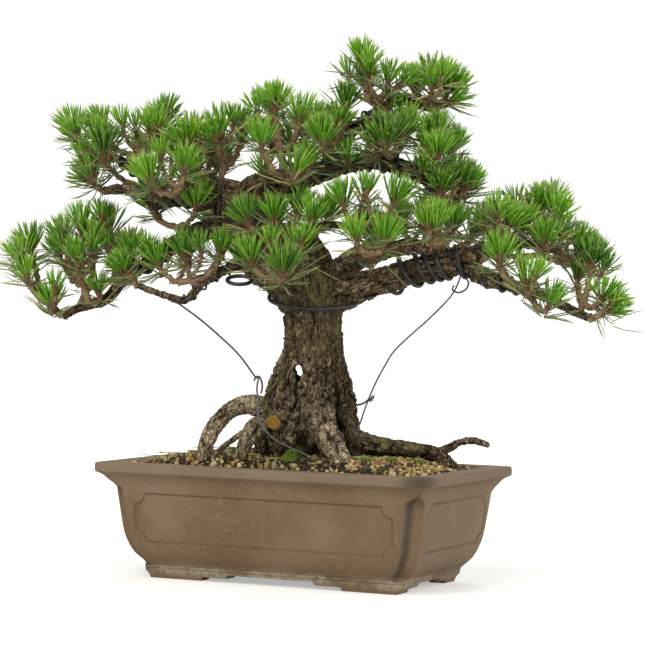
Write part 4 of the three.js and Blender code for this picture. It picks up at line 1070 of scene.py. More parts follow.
def make_soil():
    """The bed of dark soil, with loose grains of four kinds and bigger stones on it"""
    noise = Noise(23)
    levels = [14.35, 20, 42, 75, SOIL_EDGE_HEIGHT]
    rings = [soil_ring(cavity_halves(height, CLEAR_GAP), CAVITY_CORNER_ROUND, height) for height in levels]
    top_halves = np.array([2, 1.5])
    for share in np.linspace(0, 1, 30)[1:]:
        half_sides = top_halves + (SOIL_EDGE - top_halves) * (1 - share)
        corner = min(half_sides[1] * 0.98, CAVITY_CORNER_ROUND + 30 * ease(0, 0.35, share))
        ring = soil_ring(half_sides, corner, np.interp(share, MOUND_SHARES, MOUND_HEIGHTS))
        ring[:, 2] += 0.9 * noise.layered(ring / 9, 2) * ease(0, 0.1, share)
        rings.append(ring)
    sides = len(rings[0])
    bed = link_mesh("soil_bed", np.vstack(rings), ring_faces(len(rings), sides))
    shade(bed)
    hand_over(bed, flecked_finish("wet_earth", (0.018, 0.012, 0.007), (0.008, 0.005, 0.003),
        (0.06, 0.042, 0.022), 120.0, 0.75, 0.0012), ["soil"])

    top_faces = ring_faces(len(rings) - len(levels) + 1, sides, caps=(False, True))
    top = np.vstack(rings[len(levels) - 1:]), top_faces
    kinds = [("cream", (0.62, 0.49, 0.23), (0.36, 0.25, 0.09), (0.84, 0.74, 0.48)),
        ("tan", (0.44, 0.31, 0.11), (0.22, 0.14, 0.04), (0.62, 0.49, 0.22)),
        ("orange", (0.34, 0.2, 0.065), (0.16, 0.08, 0.022), (0.5, 0.35, 0.14)),
        ("grey", (0.07, 0.053, 0.028), (0.022, 0.016, 0.009), (0.2, 0.16, 0.09))]
    for number, (kind, *colours) in enumerate(kinds):
        finish = flecked_finish(f"grain_{kind}", *colours, 170.0, 0.6, 0.0005, painted_trunk_shade=True)
        grow_piece(link_mesh(f"soil_grains_{kind}", *top), soil_grains,
            {"Spacing": 0.0034, "Density": 150000.0, "Least Size": 0.0011, "Most Size": 0.0029,
            "Kind": number, "Kinds": len(kinds)}, finish)
    pale = flecked_finish("pale_stone", (0.5, 0.4, 0.22), (0.32, 0.24, 0.12), (0.7, 0.6, 0.42), 110.0, 0.6,
        0.0006, painted_trunk_shade=True)
    grow_piece(link_mesh("pale_stones", *top), soil_grains,
        {"Spacing": 0.021, "Density": 2200.0, "Least Size": 0.003, "Most Size": 0.005, "Kind": 0, "Kinds": 1,
        "Seed": 31}, pale)


def soil_ring(half_sides, corner_round, height):
    """A row of the soil: a rectangle with round corners, as points at even shares of each side"""
    side_steps = 30
    straight = half_sides - corner_round
    shares = 1 - (np.arange(1, side_steps) / side_steps) * 2
    return closed_row(half_sides, height, straight + corner_round * quarter_circle(8),
        *(shares * half for half in straight))


# Wood: tubes joined into one skin, then roughened along each limb
class LimbSamples:
    """Places along the limbs' lines, which tell where on which limb a point of the skin lies"""

    def __init__(self, limbs):
        blocks = []
        for number, limb in enumerate(limbs):
            shares = limb.shares(2.0)
            tangents = limb.line.tangents(shares)
            first, other = carried_frames(tangents)
            radius = limb.swelled_radius(shares)
            rest = np.column_stack([radius, shares * limb.length, np.full(len(shares), number)])
            blocks.append(np.hstack([limb.line.at(shares), tangents, first, other, rest]))
        table = np.vstack(blocks)
        self.spots, self.tangents, self.first, self.other = (table[:, 3 * k:3 * k + 3] for k in range(4))
        self.radius, self.along = table[:, 12], table[:, 13]
        self.limb = table[:, 14].astype(int)

    def nearest(self, points):
        found = np.empty(len(points), int)
        for low in range(0, len(points), 4000):
            part = points[low:low + 4000]
            gap = norm(part[:, None] - self.spots[None], axis=2) - self.radius[None]
            found[low:low + 4000] = gap.argmin(axis=1)
        return found


def find_collars(limbs):
    """How far along each bough it comes out of the limbs before it"""
    for number, limb in enumerate(limbs[1:], start=1):
        shares = limb.shares(2.0)
        inside = np.zeros(len(shares), bool)
        for other in limbs[:number]:
            other_shares = other.shares(4.0)
            gap = norm(limb.line.at(shares)[:, None] - other.line.at(other_shares)[None], axis=2)
            inside |= (gap < other.radius(other_shares)[None] * 1.02).any(axis=1)
        first_free = int(np.argmin(inside)) if not inside.all() else len(shares) - 1
        limb.collar_end = shares[first_free] * limb.length if inside[0] else 0.0


def bark_skin(name, limbs, sides, voxel, seed, hole=None):
    """Joins the limbs' tubes in one closed skin and roughens it into furrows and plates"""
    skin = join_tubes(name, limbs, sides, step=3.0)
    if hole is not None:
        hole(skin)
    remesh = skin.modifiers.new("join", "REMESH")
    remesh.mode = "VOXEL"
    remesh.voxel_size = voxel * MM
    settle(skin)
    points, normals = mesh_points(skin)
    samples = LimbSamples(limbs)
    near = samples.nearest(points)
    offset = points - samples.spots[near]
    lengthwise, aside, away = ((offset * ways[near]).sum(axis=1)
        for ways in (samples.tangents, samples.first, samples.other))
    along = samples.along[near] + lengthwise
    number = samples.limb[near]
    cell, depth = np.array([[limb.bark_cell, limb.bark_depth] for limb in limbs])[number].T
    noise = Noise(seed)
    stretch = 2.4
    local = np.stack([aside, away, along / stretch], 1) / cell[:, None] + number[:, None] * 17.7
    warp = np.stack([noise.smooth(local * 0.55 + shift) for shift in (0.0, 31.4, 62.8)], 1)
    local = local + 1.15 * warp
    edge, tone = noise.plates(local)
    small_edge, small_tone = noise.plates(local * 2.7 + 5)
    winding = np.abs(noise.layered(local * 0.62 + 50, 3))
    plate = ease(0.02, 0.24, edge) * (0.45 + 0.55 * ease(0.0, 0.11, winding))
    small_plate = ease(0.0, 0.3, small_edge)
    rough = noise.layered(local * 5.5, 2)
    # The skin's mean stays on the limb's own radius
    lift = 0.85 * (plate - 0.62) + 0.5 * (tone - 0.5) * plate + 0.26 * (small_plate - 0.7) * plate
    lift += 0.2 * (small_tone - 0.5) + 0.3 * rough + 0.7 * noise.layered(local * 0.36 + 9, 2)
    relief = 0.66 * plate * (0.45 + 0.55 * small_plate) + 0.17 + 0.5 * noise.layered(local * 1.3, 3)
    return skin, points, normals, lift * depth, {"relief": np.clip(relief, 0, 1),
        "tone": np.clip(0.65 * tone + 0.35 * small_tone, 0, 1), "limb": number,
        "radius": samples.radius[near], "noise": noise}


def spot_mask(points, marks, soft=0.55):
    """1 near the middle of any of the marks, each (place in the view, radius), and 0 away from them"""
    mask = np.zeros(len(points))
    for middle, radius in marks:
        gap = norm(points - place(middle), axis=1) / radius
        mask = np.maximum(mask, ease(1.0, soft, gap))
    return mask


# Marks on the trunk and the roots, each a place in the view and a radius
LICHEN_MARKS = [([-4, -27, 204], 10), ([12, -31, 228], 9), ([62, -12, 113], 13), ([88, -16, 112], 12),
    ([24, -24, 214], 8), ([-44, 0, 262], 9)]
MOSS_MARKS = [([40, -22, 126], 9), ([-10, -42, 108], 9), ([44, -34, 106], 8), ([60, -12, 106], 9)]
BLEACHED_MARKS = [([19, -55, 126], 12), ([26, -61, 113], 14), ([36, -67, 101], 14), ([-52, -12, 146], 20),
    ([-76, -17, 122], 18), ([-84, -20, 104], 14), ([-50, -27, 122], 14), ([-24, 0, 186], 9)]
# Hollows at the trunk's foot: the place, the radius and the depth each is pushed in; their colour is darkened
# as painted shade
HOLLOWS_WITH_PAINTED_SHADE = [([-16, -38, 106], 14, 6.0), ([4, -42, 105], 14, 7.0), ([-6, -42, 117], 11, 4.0),
    ([37, -27, 112], 15, 5.0), ([-32, -32, 106], 10, 3.0)]
# Deep cracks down the trunk's face: the places they pass, their half width and their depth
CRACKS = [
    ([[-7, -30, 168], [-9, -33, 158], [-8, -35, 148], [-12, -36, 142]], 1.7, 3.6),
    ([[26, -22, 160], [28, -24, 150], [27, -27, 138], [30, -27, 128]], 1.9, 4.0),
    ([[-12, -26, 218], [-13, -24, 206], [-10, -23, 194], [-7, -24, 182]], 1.1, 2.2),
    ([[4, -26, 224], [6, -24, 214], [3, -24, 200]], 0.9, 1.6),
    ([[-26, -16, 170], [-30, -20, 156], [-29, -28, 146]], 1.3, 2.6)
]


def crack_mask(points, route, half_width):
    """1 along a line as the view shows it, on the side of the trunk that faces the viewer"""
    line = SmoothLine(place(route)).at(np.linspace(0, 1, 24))
    aside = points @ VIEW_RIGHT - (line @ VIEW_RIGHT)[:, None]
    gap = np.hypot(aside, points[:, 2] - line[:, 2:]).min(axis=0)
    return bell(gap, half_width) * (points @ VIEW_AWAY < 0)


def bore_hole(skin):
    for across, up, half_across, half_height in HOLE_LOBES:
        middle = place(HOLE_MIDDLE) + across * VIEW_RIGHT + up * UP
        cut_away(skin, rod(middle, (half_across, half_height), HOLE_DEPTH, 15, VIEW_RIGHT, UP))


def make_trunk():
    """Trunk and roots in one skin, with the hole through it, its cracks and the hollows at its foot, all
    darkened inside as painted shade
    """
    limbs = [TRUNK, PRUNED_STUB, *ROOTS, ROOT_ARCH, *THIN_ROOTS]
    skin, points, normals, lift, marks = bark_skin("trunk_bark", limbs, sides=64, voxel=1.03, seed=41,
        hole=bore_hole)
    view_across = points @ VIEW_RIGHT
    height = points[:, 2]
    from_hole = np.hypot(view_across - HOLE_MIDDLE[0], (height - HOLE_MIDDLE[2]) * 0.7)
    lip = bell(from_hole - 6.8, 1.9)
    lift = lift * (0.7 + 0.3 * ease(4, 9, from_hole)) + 1.4 * lip
    # dark gathers the painted shade of the hollows and the cracks
    dark = np.zeros(len(points))
    for middle, radius, depth in HOLLOWS_WITH_PAINTED_SHADE:
        mask = spot_mask(points, [(middle, radius)], 0.4)
        lift = lift - mask * depth
        dark = np.maximum(dark, mask)
    # Each crack is cut in, and darkened as painted shade
    for route, half_width, depth in CRACKS:
        mask = crack_mask(points, route, half_width)
        lift = lift - mask * depth
        dark = np.maximum(dark, 0.9 * mask)
    lift = lift * ease(93, 96, height)
    move_points(skin, points + normals * lift[:, None])
    relief = marks["relief"] + (0.6 - marks["relief"]) * 0.5 * ease(165, 200, height) + 0.2 * lip
    # Painted shade: the hollows, the cracks and the inside of the hole are darkened towards the furrows'
    # colour
    relief *= (1 - dark) * (0.35 + 0.65 * ease(3.5, 6, from_hole))
    shaded_right = ease(8, 30, view_across) * ease(96, 120, height) * 0.35
    is_root = np.isin(marks["limb"], [limbs.index(limb) for limb in (*ROOTS, ROOT_ARCH, *THIN_ROOTS)])
    waist = ease(186, 206, height) * ease(-0.15, 0.35, marks["noise"].layered(points / 11, 2))
    bleached = np.maximum(spot_mask(points, BLEACHED_MARKS), 0.25 * is_root * ease(110, 130, height))
    add_attributes(skin, relief=relief * (1 - shaded_right), tone=marks["tone"], bleached=bleached,
        lichen=np.maximum(spot_mask(points, LICHEN_MARKS) * 0.85, 0.75 * waist),
        moss=spot_mask(points, MOSS_MARKS) * 0.9)
    shade(skin)
    bark = bark_finish("trunk_bark", (0.017, 0.011, 0.006), (0.232, 0.17, 0.098), (0.54, 0.43, 0.28),
        (0.7, 0.56, 0.38), (0.075, 0.17, 0.012))
    hand_over(skin, bark, ["trunk", *(root.name for root in ROOTS)])


BOUGH_SLIMMING = 0.06


def make_boughs():
    limbs = [TRUNK, *BOUGHS]
    find_collars(limbs)
    skin, points, normals, lift, marks = bark_skin("boughs_bark", BOUGHS, sides=24, voxel=1.1, seed=43)
    move_points(skin, points + normals * (lift - BOUGH_SLIMMING * marks["radius"])[:, None])
    noise = marks["noise"]
    upper_side = ease(0.1, 0.8, normals[:, 2])
    lichen = 0.35 * upper_side * ease(0.1, 0.5, noise.layered(points / 14, 2))
    bleached = 0.3 * ease(0.2, 0.6, noise.layered(points / 9 + 40, 2))
    add_attributes(skin, relief=marks["relief"], tone=marks["tone"], moss=0 * lift, lichen=lichen,
        bleached=bleached)
    shade(skin)
    bark = bark_finish("bough_bark", (0.019, 0.012, 0.007), (0.24, 0.168, 0.092), (0.48, 0.36, 0.215),
        (0.62, 0.5, 0.34), (0.06, 0.13, 0.014))
    hand_over(skin, bark, [bough.name for bough in BOUGHS])


def make_sawn_face():
    """The sawn face of the stub at the trunk's foot: a low dome that sits in its collar of bark"""
    middle, way = PRUNED_STUB.line.at(1.0), PRUNED_STUB.line.tangents(1.0)
    across, other = (direction[0] for direction in carried_frames(np.array([way])))
    sides = 28
    noise = Noise(5)
    rings = []
    for radius, rise in ((6.2, -2.0), (6.3, 0.5), (5.9, 1.1), (4.4, 1.3), (2.8, 1.35), (1.2, 1.4)):
        ring = middle + way * rise + radius * around(circle_turns(sides), across, other)
        rings.append(ring + 0.25 * noise.smooth(ring / 2.2)[:, None] * way)
    face = closed_mesh("sawn_face", np.vstack(rings), ring_faces(len(rings), sides))
    shade(face)
    hand_over(face, sawn_finish())


# Wires
black_wire = flecked_finish("black_wire", (0.022, 0.023, 0.025), (0.012, 0.012, 0.013), (0.07, 0.07, 0.072),
    140.0, 0.32, 0.0001, specular=0.6)
grey_wire = flecked_finish("grey_wire", (0.085, 0.085, 0.088), (0.04, 0.04, 0.042), (0.2, 0.2, 0.2), 160.0,
    0.3, 0.0001, specular=0.6)
rusty_wire = flecked_finish("rusty_wire", (0.105, 0.036, 0.02), (0.05, 0.018, 0.012), (0.2, 0.09, 0.05),
    300.0, 0.7, 0.0002)

# Coils of training wire: bough, where they start and end on it, turns, wire radius and first angle
COILS = [("right", 0.42, 0.62, 1.6, 1.75, 0.4), ("right", 0.55, 0.97, 3.4, 1.75, 2.2),
    ("right", 0.60, 0.80, 1.5, 1.6, 2.9), ("right_tip", 0.06, 0.55, 4.0, 1.3, 0.0),
    ("right_top", 0.05, 0.6, 5.0, 1.2, 1.0), ("lower_left", 0.08, 0.62, 6.5, 1.5, 0.5),
    ("upper_left", 0.12, 0.75, 6.0, 1.4, 1.2), ("upper_left_fork", 0.1, 0.8, 5.0, 1.1, 0.3),
    ("top", 0.55, 0.95, 4.5, 1.3, 0.9), ("apex", 0.1, 0.7, 5.5, 1.1, 2.0),
    ("low_left_thin", 0.1, 0.6, 5.0, 0.9, 0.2), ("back_left", 0.2, 0.8, 5.0, 1.2, 0.7)]


def make_coils():
    coils = []
    for name, start, end, turns, radius, phase in COILS:
        bough = BOUGH_BY_NAME[name]
        shares = np.linspace(start, end, 30)
        coil = line_object("coil", [(bough.line.at(shares), bough.radius(shares) * 1.04)], "bough_radius")
        clearance = 0.75 * radius * MM
        values = {"Turns": turns, "Phase": phase, "Wire Radius": radius * MM, "Clearance": clearance,
            "Points": int(26 * turns)}
        grow(coil, wire_coil, values, black_wire)
        coils.append(coil)
    join_pieces("wire_coils", coils, black_wire)


def join_pieces(name, parts, material):
    work = bmesh.new()
    for part in parts:
        work.from_mesh(part.data)
        bpy.data.objects.remove(part)
    mesh = bpy.data.meshes.new(name)
    work.to_mesh(mesh)
    work.free()
    hand_over(new_object(name, mesh), material)


def wire_line(name, points, radius, material, nodes=(), closed=False):
    line = SmoothLine(place(points), closed)
    spots = line.at(np.linspace(0, 1, max(8, round(line.length / 2.2))))
    grow_piece(line_object(name, [(spots, radius)]), round_line, {"Sides": 8}, material, nodes)


def make_wires():
    left, right = GUY_WIRE_ROUTES.values()
    wire_line("guy_wire_left_line", left[:6], GUY_WIRE_RADIUS, black_wire, ["guy_wire_left"])
    hook = [[-41, -33, 168], [-38.5, -35, 169.5], [-36.5, -37, 166], [-35.5, -38, 161], [-36.5, -40, 156]]
    wire_line("guy_hook", hook, GUY_WIRE_RADIUS, black_wire)
    lower = [[-42.5, -36, 166], [-41, -34, 169], [-39, -36, 168.5], [-40, -39, 160], *left[6:]]
    wire_line("guy_wire_foot", lower, GUY_WIRE_RADIUS, grey_wire)
    wire_line("guy_wire_right_line", right, GUY_WIRE_RADIUS - 0.1, grey_wire, ["guy_wire_right"])
    turns = np.linspace(0, 5 * math.pi, 34)
    knot_height = 1.5 * np.sin(turns + 0.6) + 0.2 * turns
    knot = np.stack([1.5 * np.cos(turns) + 0.12 * turns, 1.5 * np.sin(turns), knot_height], 1)
    wire_line("guy_knot", knot + [53.0, -43.0, 151.5], 0.6, grey_wire)
    wire_line("guy_branch", [[52, -43, 153], [47, -40, 149], [38, -34, 146.5], [32, -28, 145]], 0.8,
        black_wire)
    tie = [[126, -42, 255], [131, -46, 250], [129, -50, 244], [123, -51, 241], [118, -51, 243],
        [119, -50, 247]]
    wire_line("guy_tie", tie, 0.75, black_wire)

    wire_line("ring_wire_line", ring_wire_route(), RING_WIRE_RADIUS, black_wire, ["ring_wire"], closed=True)
    loop = around(circle_turns(16), np.array([10, 0, 0]), np.array([0, 9, 3.4])) + [-56, -30, 248]
    wire_line("loop_wire", loop, 1.7, black_wire, closed=True)
    turns = circle_turns(40)
    share = 0.398
    first, other = (ways[1] for ways in carried_frames(TRUNK.line.tangents(np.array([0, share]))))
    reach = TRUNK.radius(share) * trunk_lumps(share, turns) + 1.6
    line = SmoothLine(TRUNK.line.at(share) + reach[:, None] * around(turns, first, other), closed=True)
    rusty = line_object("rusty_wire_line", [(line.at(np.linspace(0, 1, 90)), 0.55)])
    grow_piece(rusty, round_line, {"Sides": 6}, rusty_wire)


# Foliage: the same skeleton as the construction's, then finer twigs, candles and needles on it
STEM_RADIUS, TWIG_RADIUS, SIDE_TWIG_RADIUS, TWIG_STEP = 2.6, 1.7, 1.5, 2.4
HUB_DROP, HUB_SHARE, LEAST_HUB_CLEARANCE = 9, 0.5, 4
OUTWARD_LEAN, CROWN_REACH, SPREAD_LEAN, TWIG_SAG, SAG_SHARE = 0.28, 240, 0.5, 0.14, 0.55
CORE_HEIGHT, CORE_RADIUS, LEAST_GAP = 2.8, 3.2, 0.5


class TakenRoom:
    """Room that is already taken: round-ended lengths with a radius at each end, each with its owner"""

    def __init__(self):
        self.lengths, self.owners = [], []

    def take_line(self, points, radii, owner):
        radii = np.broadcast_to(radii, len(points))
        for k in range(len(points) - 1):
            self.lengths.append(np.concatenate([points[k], points[k + 1], radii[k:k + 2]]))
            self.owners.append(owner)

    def take_limb(self, limb):
        shares = limb.shares(limb.step)
        self.take_line(limb.line.at(shares), limb.radius(shares) * 1.08, limb.name)

    def is_free(self, start, end, radius, own_parts):
        table = np.array(self.lengths)
        starts, ends = table[:, :3], table[:, 3:6]
        way, others = end - start, ends - starts
        offset = start - starts
        square = max(way @ way, 1e-6)
        other_square = np.maximum((others * others).sum(axis=1), 1e-6)
        both = others @ way
        lead = offset @ way
        other_lead = (others * offset).sum(axis=1)
        spread = square * other_square - both * both
        share = np.clip((both * other_lead - lead * other_square) / np.maximum(spread, 1e-6), 0, 1)
        share = np.where(spread > 1e-6, share, 0)
        other_share = np.clip((both * share + other_lead) / other_square, 0, 1)
        share = np.clip((both * other_share - lead) / square, 0, 1)
        near = start + way * share[:, None]
        other_near = starts + others * other_share[:, None]
        other_radius = table[:, 6] + (table[:, 7] - table[:, 6]) * other_share
        gap = norm(near - other_near, axis=1) - radius - other_radius
        is_own = np.array([owner in own_parts for owner in self.owners])
        return bool(np.all(is_own | (gap > LEAST_GAP)))


def take_wood_and_wires():
    room = TakenRoom()
    for limb in [TRUNK, *BOUGHS, *ROOTS]:
        room.take_limb(limb)
    for name, route in GUY_WIRE_ROUTES.items():
        room.take_line(place(route), GUY_WIRE_RADIUS + 0.5, name)
    ring = place(ring_wire_route())
    room.take_line([*ring, ring[0]], RING_WIRE_RADIUS + 0.5, "ring_wire")
    return room


def mass_skeleton(room, name, bough, count, row):
    """The foot, the hub and the shoots of one mass, laid out as in the construction"""
    first, last = place(row[0]), place(row[-1])
    middle = place(row[1]) if len(row) == 3 else (first + last) / 2
    shares = np.arange(count) / (count - 1)
    ends = (np.outer((1 - shares) * (1 - 2 * shares), first) + np.outer(4 * shares * (1 - shares), middle)
        + np.outer(shares * (2 * shares - 1), last))
    centre = ends.mean(axis=0)
    target = centre - UP * HUB_DROP
    steps = np.linspace(0, 1, 51)
    spots = bough.line.at(steps)
    bare = [k for k in range(51) if room.is_free(spots[k], spots[k], STEM_RADIUS, [bough.name])]
    foot_index = min(bare, key=lambda k: norm(spots[k] - target))
    foot = spots[foot_index]
    reach = target - foot
    distance = max(HUB_SHARE * norm(reach), bough.radius(steps[foot_index]) + LEAST_HUB_CLEARANCE)
    hub = foot + unit(reach) * distance
    row_length = max(1, norm(first - last))
    shoots = []
    for k, end in enumerate(ends):
        outwards = np.array([end[0], end[1], 0])
        lean = OUTWARD_LEAN * min(1, norm(outwards) / CROWN_REACH)
        aim = unit(UP + unit(outwards) * lean + (end - centre) * SPREAD_LEAN / row_length)
        way = end - hub
        bend = hub + way * SAG_SHARE - UP * TWIG_SAG * norm(way)
        shoots.append({"name": f"{name} shoot {k}", "end": end, "aim": aim,
            "twig": SmoothLine([hub, bend, end])})
    return foot, hub, shoots


def keep_free_shoots(room, name, bough, foot, hub, shoots):
    """Takes the room of the stem, and of each shoot that has room of its own"""
    own = [name, bough.name] + [shoot["name"] for shoot in shoots]
    room.take_line([foot, hub], STEM_RADIUS, name)
    kept = []
    for shoot in shoots:
        points = shoot["twig"].at(np.array([0.15, 0.5, 0.8, 1]))
        core_top = shoot["end"] + shoot["aim"] * 2 * CORE_HEIGHT
        lengths = [(points[k], points[k + 1], TWIG_RADIUS) for k in range(3)]
        lengths.append((shoot["end"], core_top, CORE_RADIUS))
        if all(room.is_free(start, end, radius, own) for start, end, radius in lengths):
            room.take_line(points, TWIG_RADIUS, shoot["name"])
            room.take_line([shoot["end"], core_top], CORE_RADIUS, shoot["name"])
            kept.append(shoot)
    return kept


def leaned(aim, lean, turn):
    """An aim leaned by an angle, towards a turn about it"""
    side = unit(VIEW_RIGHT - aim * VIEW_RIGHT.dot(aim))
    return around(np.asarray(lean), aim, around(np.asarray(turn), side, np.cross(aim, side)))


NEEDLE_LENGTH = 25.5
SHEATH_LENGTH = 5.4
YOUNG_KINDS = ["bright", "fresh", "mid", "deep"]
YOUNG_PAIRS = [["bright", "fresh"], ["bright", "mid"], ["mid", "bright"], ["mid", "deep"]]


class Growth:
    """Collects what grows: lines of twigs and candles, and needles of each kind"""

    def __init__(self):
        self.draw = np.random.default_rng(71)
        self.twigs, self.candles = [], []
        self.needles = {kind: [] for kind in [*YOUNG_KINDS, "old", "straw", "sheath", "scale"]}

    def add_needles(self, kind, roots, aims, lengths):
        self.needles[kind].append(np.column_stack([roots, unit(aims), lengths]))

    def add_pairs(self, kind, roots, aims, splay, lengths):
        for side in (-1, 1):
            self.add_needles(kind, roots, aims + side * splay, lengths)

    def add_twig(self, points, start_radius, end_radius):
        count = len(points)
        knobs = 1 + 0.16 * (self.draw.random(count) - 0.4)
        self.twigs.append((points, np.linspace(start_radius, end_radius, count) * knobs))
        self.add_scales(points, end_radius)

    def add_scales(self, points, radius):
        count = int(2.2 * len(points))
        share = self.draw.random(count) ** 0.7 * (len(points) - 1.001)
        first = share.astype(int)
        way = unit(points[first + 1] - points[first])
        spots = points[first] + (points[first + 1] - points[first]) * (share - first)[:, None]
        turn = self.draw.random(count) * 2 * math.pi
        lean = np.radians(self.draw.uniform(35, 80, count))
        aims = np.array([leaned(*each) for each in zip(way, lean, turn)])
        self.add_needles("scale", spots + aims * radius * 0.6, aims, self.draw.uniform(2.2, 4.6, count))

    def add_candle(self, foot, aim, length, count, kinds, needle_length):
        """A young shoot: a red-brown candle with pairs of needles that lean less towards its top"""
        draw = self.draw
        top = foot + aim * length
        shares = np.linspace(0, 1, 5)
        radii = np.array([1.9, 1.75, 1.5, 1.25, 0.7]) * (0.9 + 0.2 * draw.random(5))
        self.candles.append((foot + (top - foot) * shares[:, None], radii))
        height = (np.arange(count) + 0.5) / count
        turn = np.arange(count) * GOLDEN_ANGLE + draw.random(count) * 0.5 + draw.random() * 6
        lean = np.radians(5 + 33 * (1 - height) ** 0.75 + draw.normal(0, 3.5, count))
        aims = leaned(aim, lean, turn)
        outward = leaned(aim, np.full(count, math.pi / 2), turn)
        roots = foot + aim * (length * (0.25 + 0.75 * height))[:, None] + outward * 0.9
        self.add_needles("sheath", roots, aims, draw.uniform(0.8, 1.15, count) * SHEATH_LENGTH)
        splay = np.radians(draw.uniform(1.4, 3.4, count))[:, None] * np.cross(aims, outward)
        lengths = needle_length * draw.uniform(0.84, 1.0, count) - 0.6 * SHEATH_LENGTH * height
        chosen = draw.choice(len(kinds), count, p=[0.62, 0.38] if len(kinds) == 2 else None)
        for number, kind in enumerate(kinds):
            mine = chosen == number
            start = roots[mine] + aims[mine] * 0.72 * SHEATH_LENGTH
            self.add_pairs(kind, start, aims[mine], splay[mine], lengths[mine])

    def add_old_needles(self, foot, aim, count, length):
        """Last year's needles, which spread wide below the young ones, and now and then a dry one"""
        draw = self.draw
        turn = np.arange(count) * GOLDEN_ANGLE + draw.random() * 6
        lean = np.radians(draw.uniform(48, 98, count))
        aims = leaned(aim, lean, turn)
        roots = foot - aim * draw.uniform(0, 6, count)[:, None] + aims * 1.2
        lengths = length * draw.uniform(0.7, 1.3, count)
        dry = draw.random(count) < 0.1
        for kind, mine in (("old", ~dry), ("straw", dry)):
            self.add_pairs(kind, roots[mine], aims[mine], 0.06 * np.cross(aims[mine], aim), lengths[mine])

    def add_tuft(self, end, aim, candles, fascicles, kinds, needle_length, old_count):
        """A brush of needles at the end of a twig: candles that fan out, and old needles below them"""
        needle_length = needle_length * self.draw.uniform(0.86, 1.06)
        turn = self.draw.random() * 2 * math.pi
        for k in range(candles):
            lean = math.radians(self.draw.uniform(9, 16)) if candles > 1 else 0.05
            way = unit(leaned(aim, lean, turn + k * 2 * math.pi / candles) + 0.05 * UP)
            length = self.draw.uniform(7, 10) if candles > 1 else self.draw.uniform(5, 8)
            self.add_candle(end, way, length, fascicles, kinds, needle_length)
        self.add_old_needles(end, aim, old_count, needle_length * 1.1)


def grow_foliage():
    """Every mass: its stem, its twigs with their tufts, and side twigs with smaller tufts"""
    room = take_wood_and_wires()
    growth = Growth()
    draw = growth.draw
    laid_out = []
    for name, bough_name, count, row in MASSES:
        bough = BOUGH_BY_NAME[bough_name]
        foot, hub, shoots = mass_skeleton(room, name, bough, count, row)
        laid_out.append((name, bough, foot, hub, keep_free_shoots(room, name, bough, foot, hub, shoots)))
    for name, bough, foot, hub, shoots in laid_out:
        own = [name, bough.name] + [shoot["name"] for shoot in shoots]
        stem_shares = np.linspace(0, 1, max(4, round(norm(hub - foot) / TWIG_STEP)))
        growth.add_twig(foot + (hub - foot) * stem_shares[:, None], 3.3, 2.7)
        for shoot in shoots:
            twig = shoot["twig"]
            shares = np.linspace(0, 1, max(5, round(twig.length / TWIG_STEP)))
            points = twig.at(shares)
            points[1:-1] += draw.normal(0, 0.45, (len(points) - 2, 3))
            growth.add_twig(points, 2.7, 2.1)
            kinds = YOUNG_PAIRS[draw.choice(4, p=[0.36, 0.34, 0.18, 0.12])]
            growth.add_tuft(shoot["end"], shoot["aim"], int(draw.choice([2, 3, 3, 4])), 13, kinds,
                NEEDLE_LENGTH, 9)
            add_side_twigs(growth, room, shoot, own, kinds)
    add_end_tufts(growth, room)
    add_spurs(growth, room)
    for root, tip in STRAY_NEEDLES:
        start, way = place(root), place(tip) - place(root)
        growth.add_needles("old", start[None], unit(way)[None], np.array([norm(way)]))
    return growth


# Spurs straight off the boughs: the bough, the share of its length, and the way the spur points in the view
SPURS = [("top", 0.16, [-0.2, -1, 0.2]), ("top", 0.3, [0.1, -1, 0.5]), ("top", 0.44, [0, -1, 0]),
    ("top", 0.62, [-0.2, -1, 0.4]), ("top", 0.8, [0.2, -1, -0.1]), ("apex", 0.25, [-0.6, -0.8, 0.3]),
    ("apex", 0.5, [0.5, -0.9, 0]), ("upper_left", 0.3, [0, -1, 0.3]), ("upper_left", 0.62, [0, -1, 0.1]),
    ("lower_left", 0.5, [0, -1, 0.3]), ("lower_left", 0.78, [0, -1, 0.4]), ("right", 0.32, [0.1, -0.5, 1]),
    ("right_top", 0.3, [0, -1, 0.2]), ("middle", 0.5, [-0.5, -1, 0.3]), ("back_left", 0.5, [0, 1, 0.5]),
    ("back", 0.6, [0.5, 0.5, 1]), ("back_right", 0.5, [0, 1, 0.5])]
# Long needles that stand out of the crown: the places of their root and tip
STRAY_NEEDLES = [([-18, -76, 246], [25, -82, 275]), ([248, -60, 220], [277, -62, 230]),
    ([248, -58, 216], [278, -60, 212]), ([243, -62, 224], [268, -66, 239]), ([62, -70, 262], [84, -74, 241]),
    ([-4, -60, 262], [4, -66, 232]), ([2, -60, 262], [34, -64, 246]), ([-150, -4, 246], [-172, -8, 222])]


def add_spurs(growth, room):
    for name, share, way in SPURS:
        bough = BOUGH_BY_NAME[name]
        way = unit(place(way))
        start = bough.line.at(share)
        skin = bough.radius(share)
        end = start + way * (skin + 8)
        if room.is_free(start + way * (skin + 3), end, SIDE_TWIG_RADIUS, [bough.name]):
            growth.add_twig(start + np.linspace(0.7 * skin, skin + 8, 6)[:, None] * way, 2.4, 1.8)
            growth.add_tuft(end, unit(way + 0.9 * UP), 2, 12, ["bright", "mid"], NEEDLE_LENGTH * 0.86, 7)


def add_end_tufts(growth, room):
    """A tuft at the end of each bough that no shoot has reached"""
    for bough in BOUGHS:
        tip = bough.line.at(1.0)
        way = unit(bough.line.tangents(1.0) + 0.75 * UP)
        end = tip + way * 9
        if room.is_free(tip + way * 4, end, SIDE_TWIG_RADIUS, [bough.name]):
            growth.add_twig(tip + np.linspace(-0.3, 1, 6)[:, None] * way * 9, 2.8, 2.1)
            growth.add_tuft(end, way, 2, 13, ["bright", "mid"], NEEDLE_LENGTH * 0.82, 8)


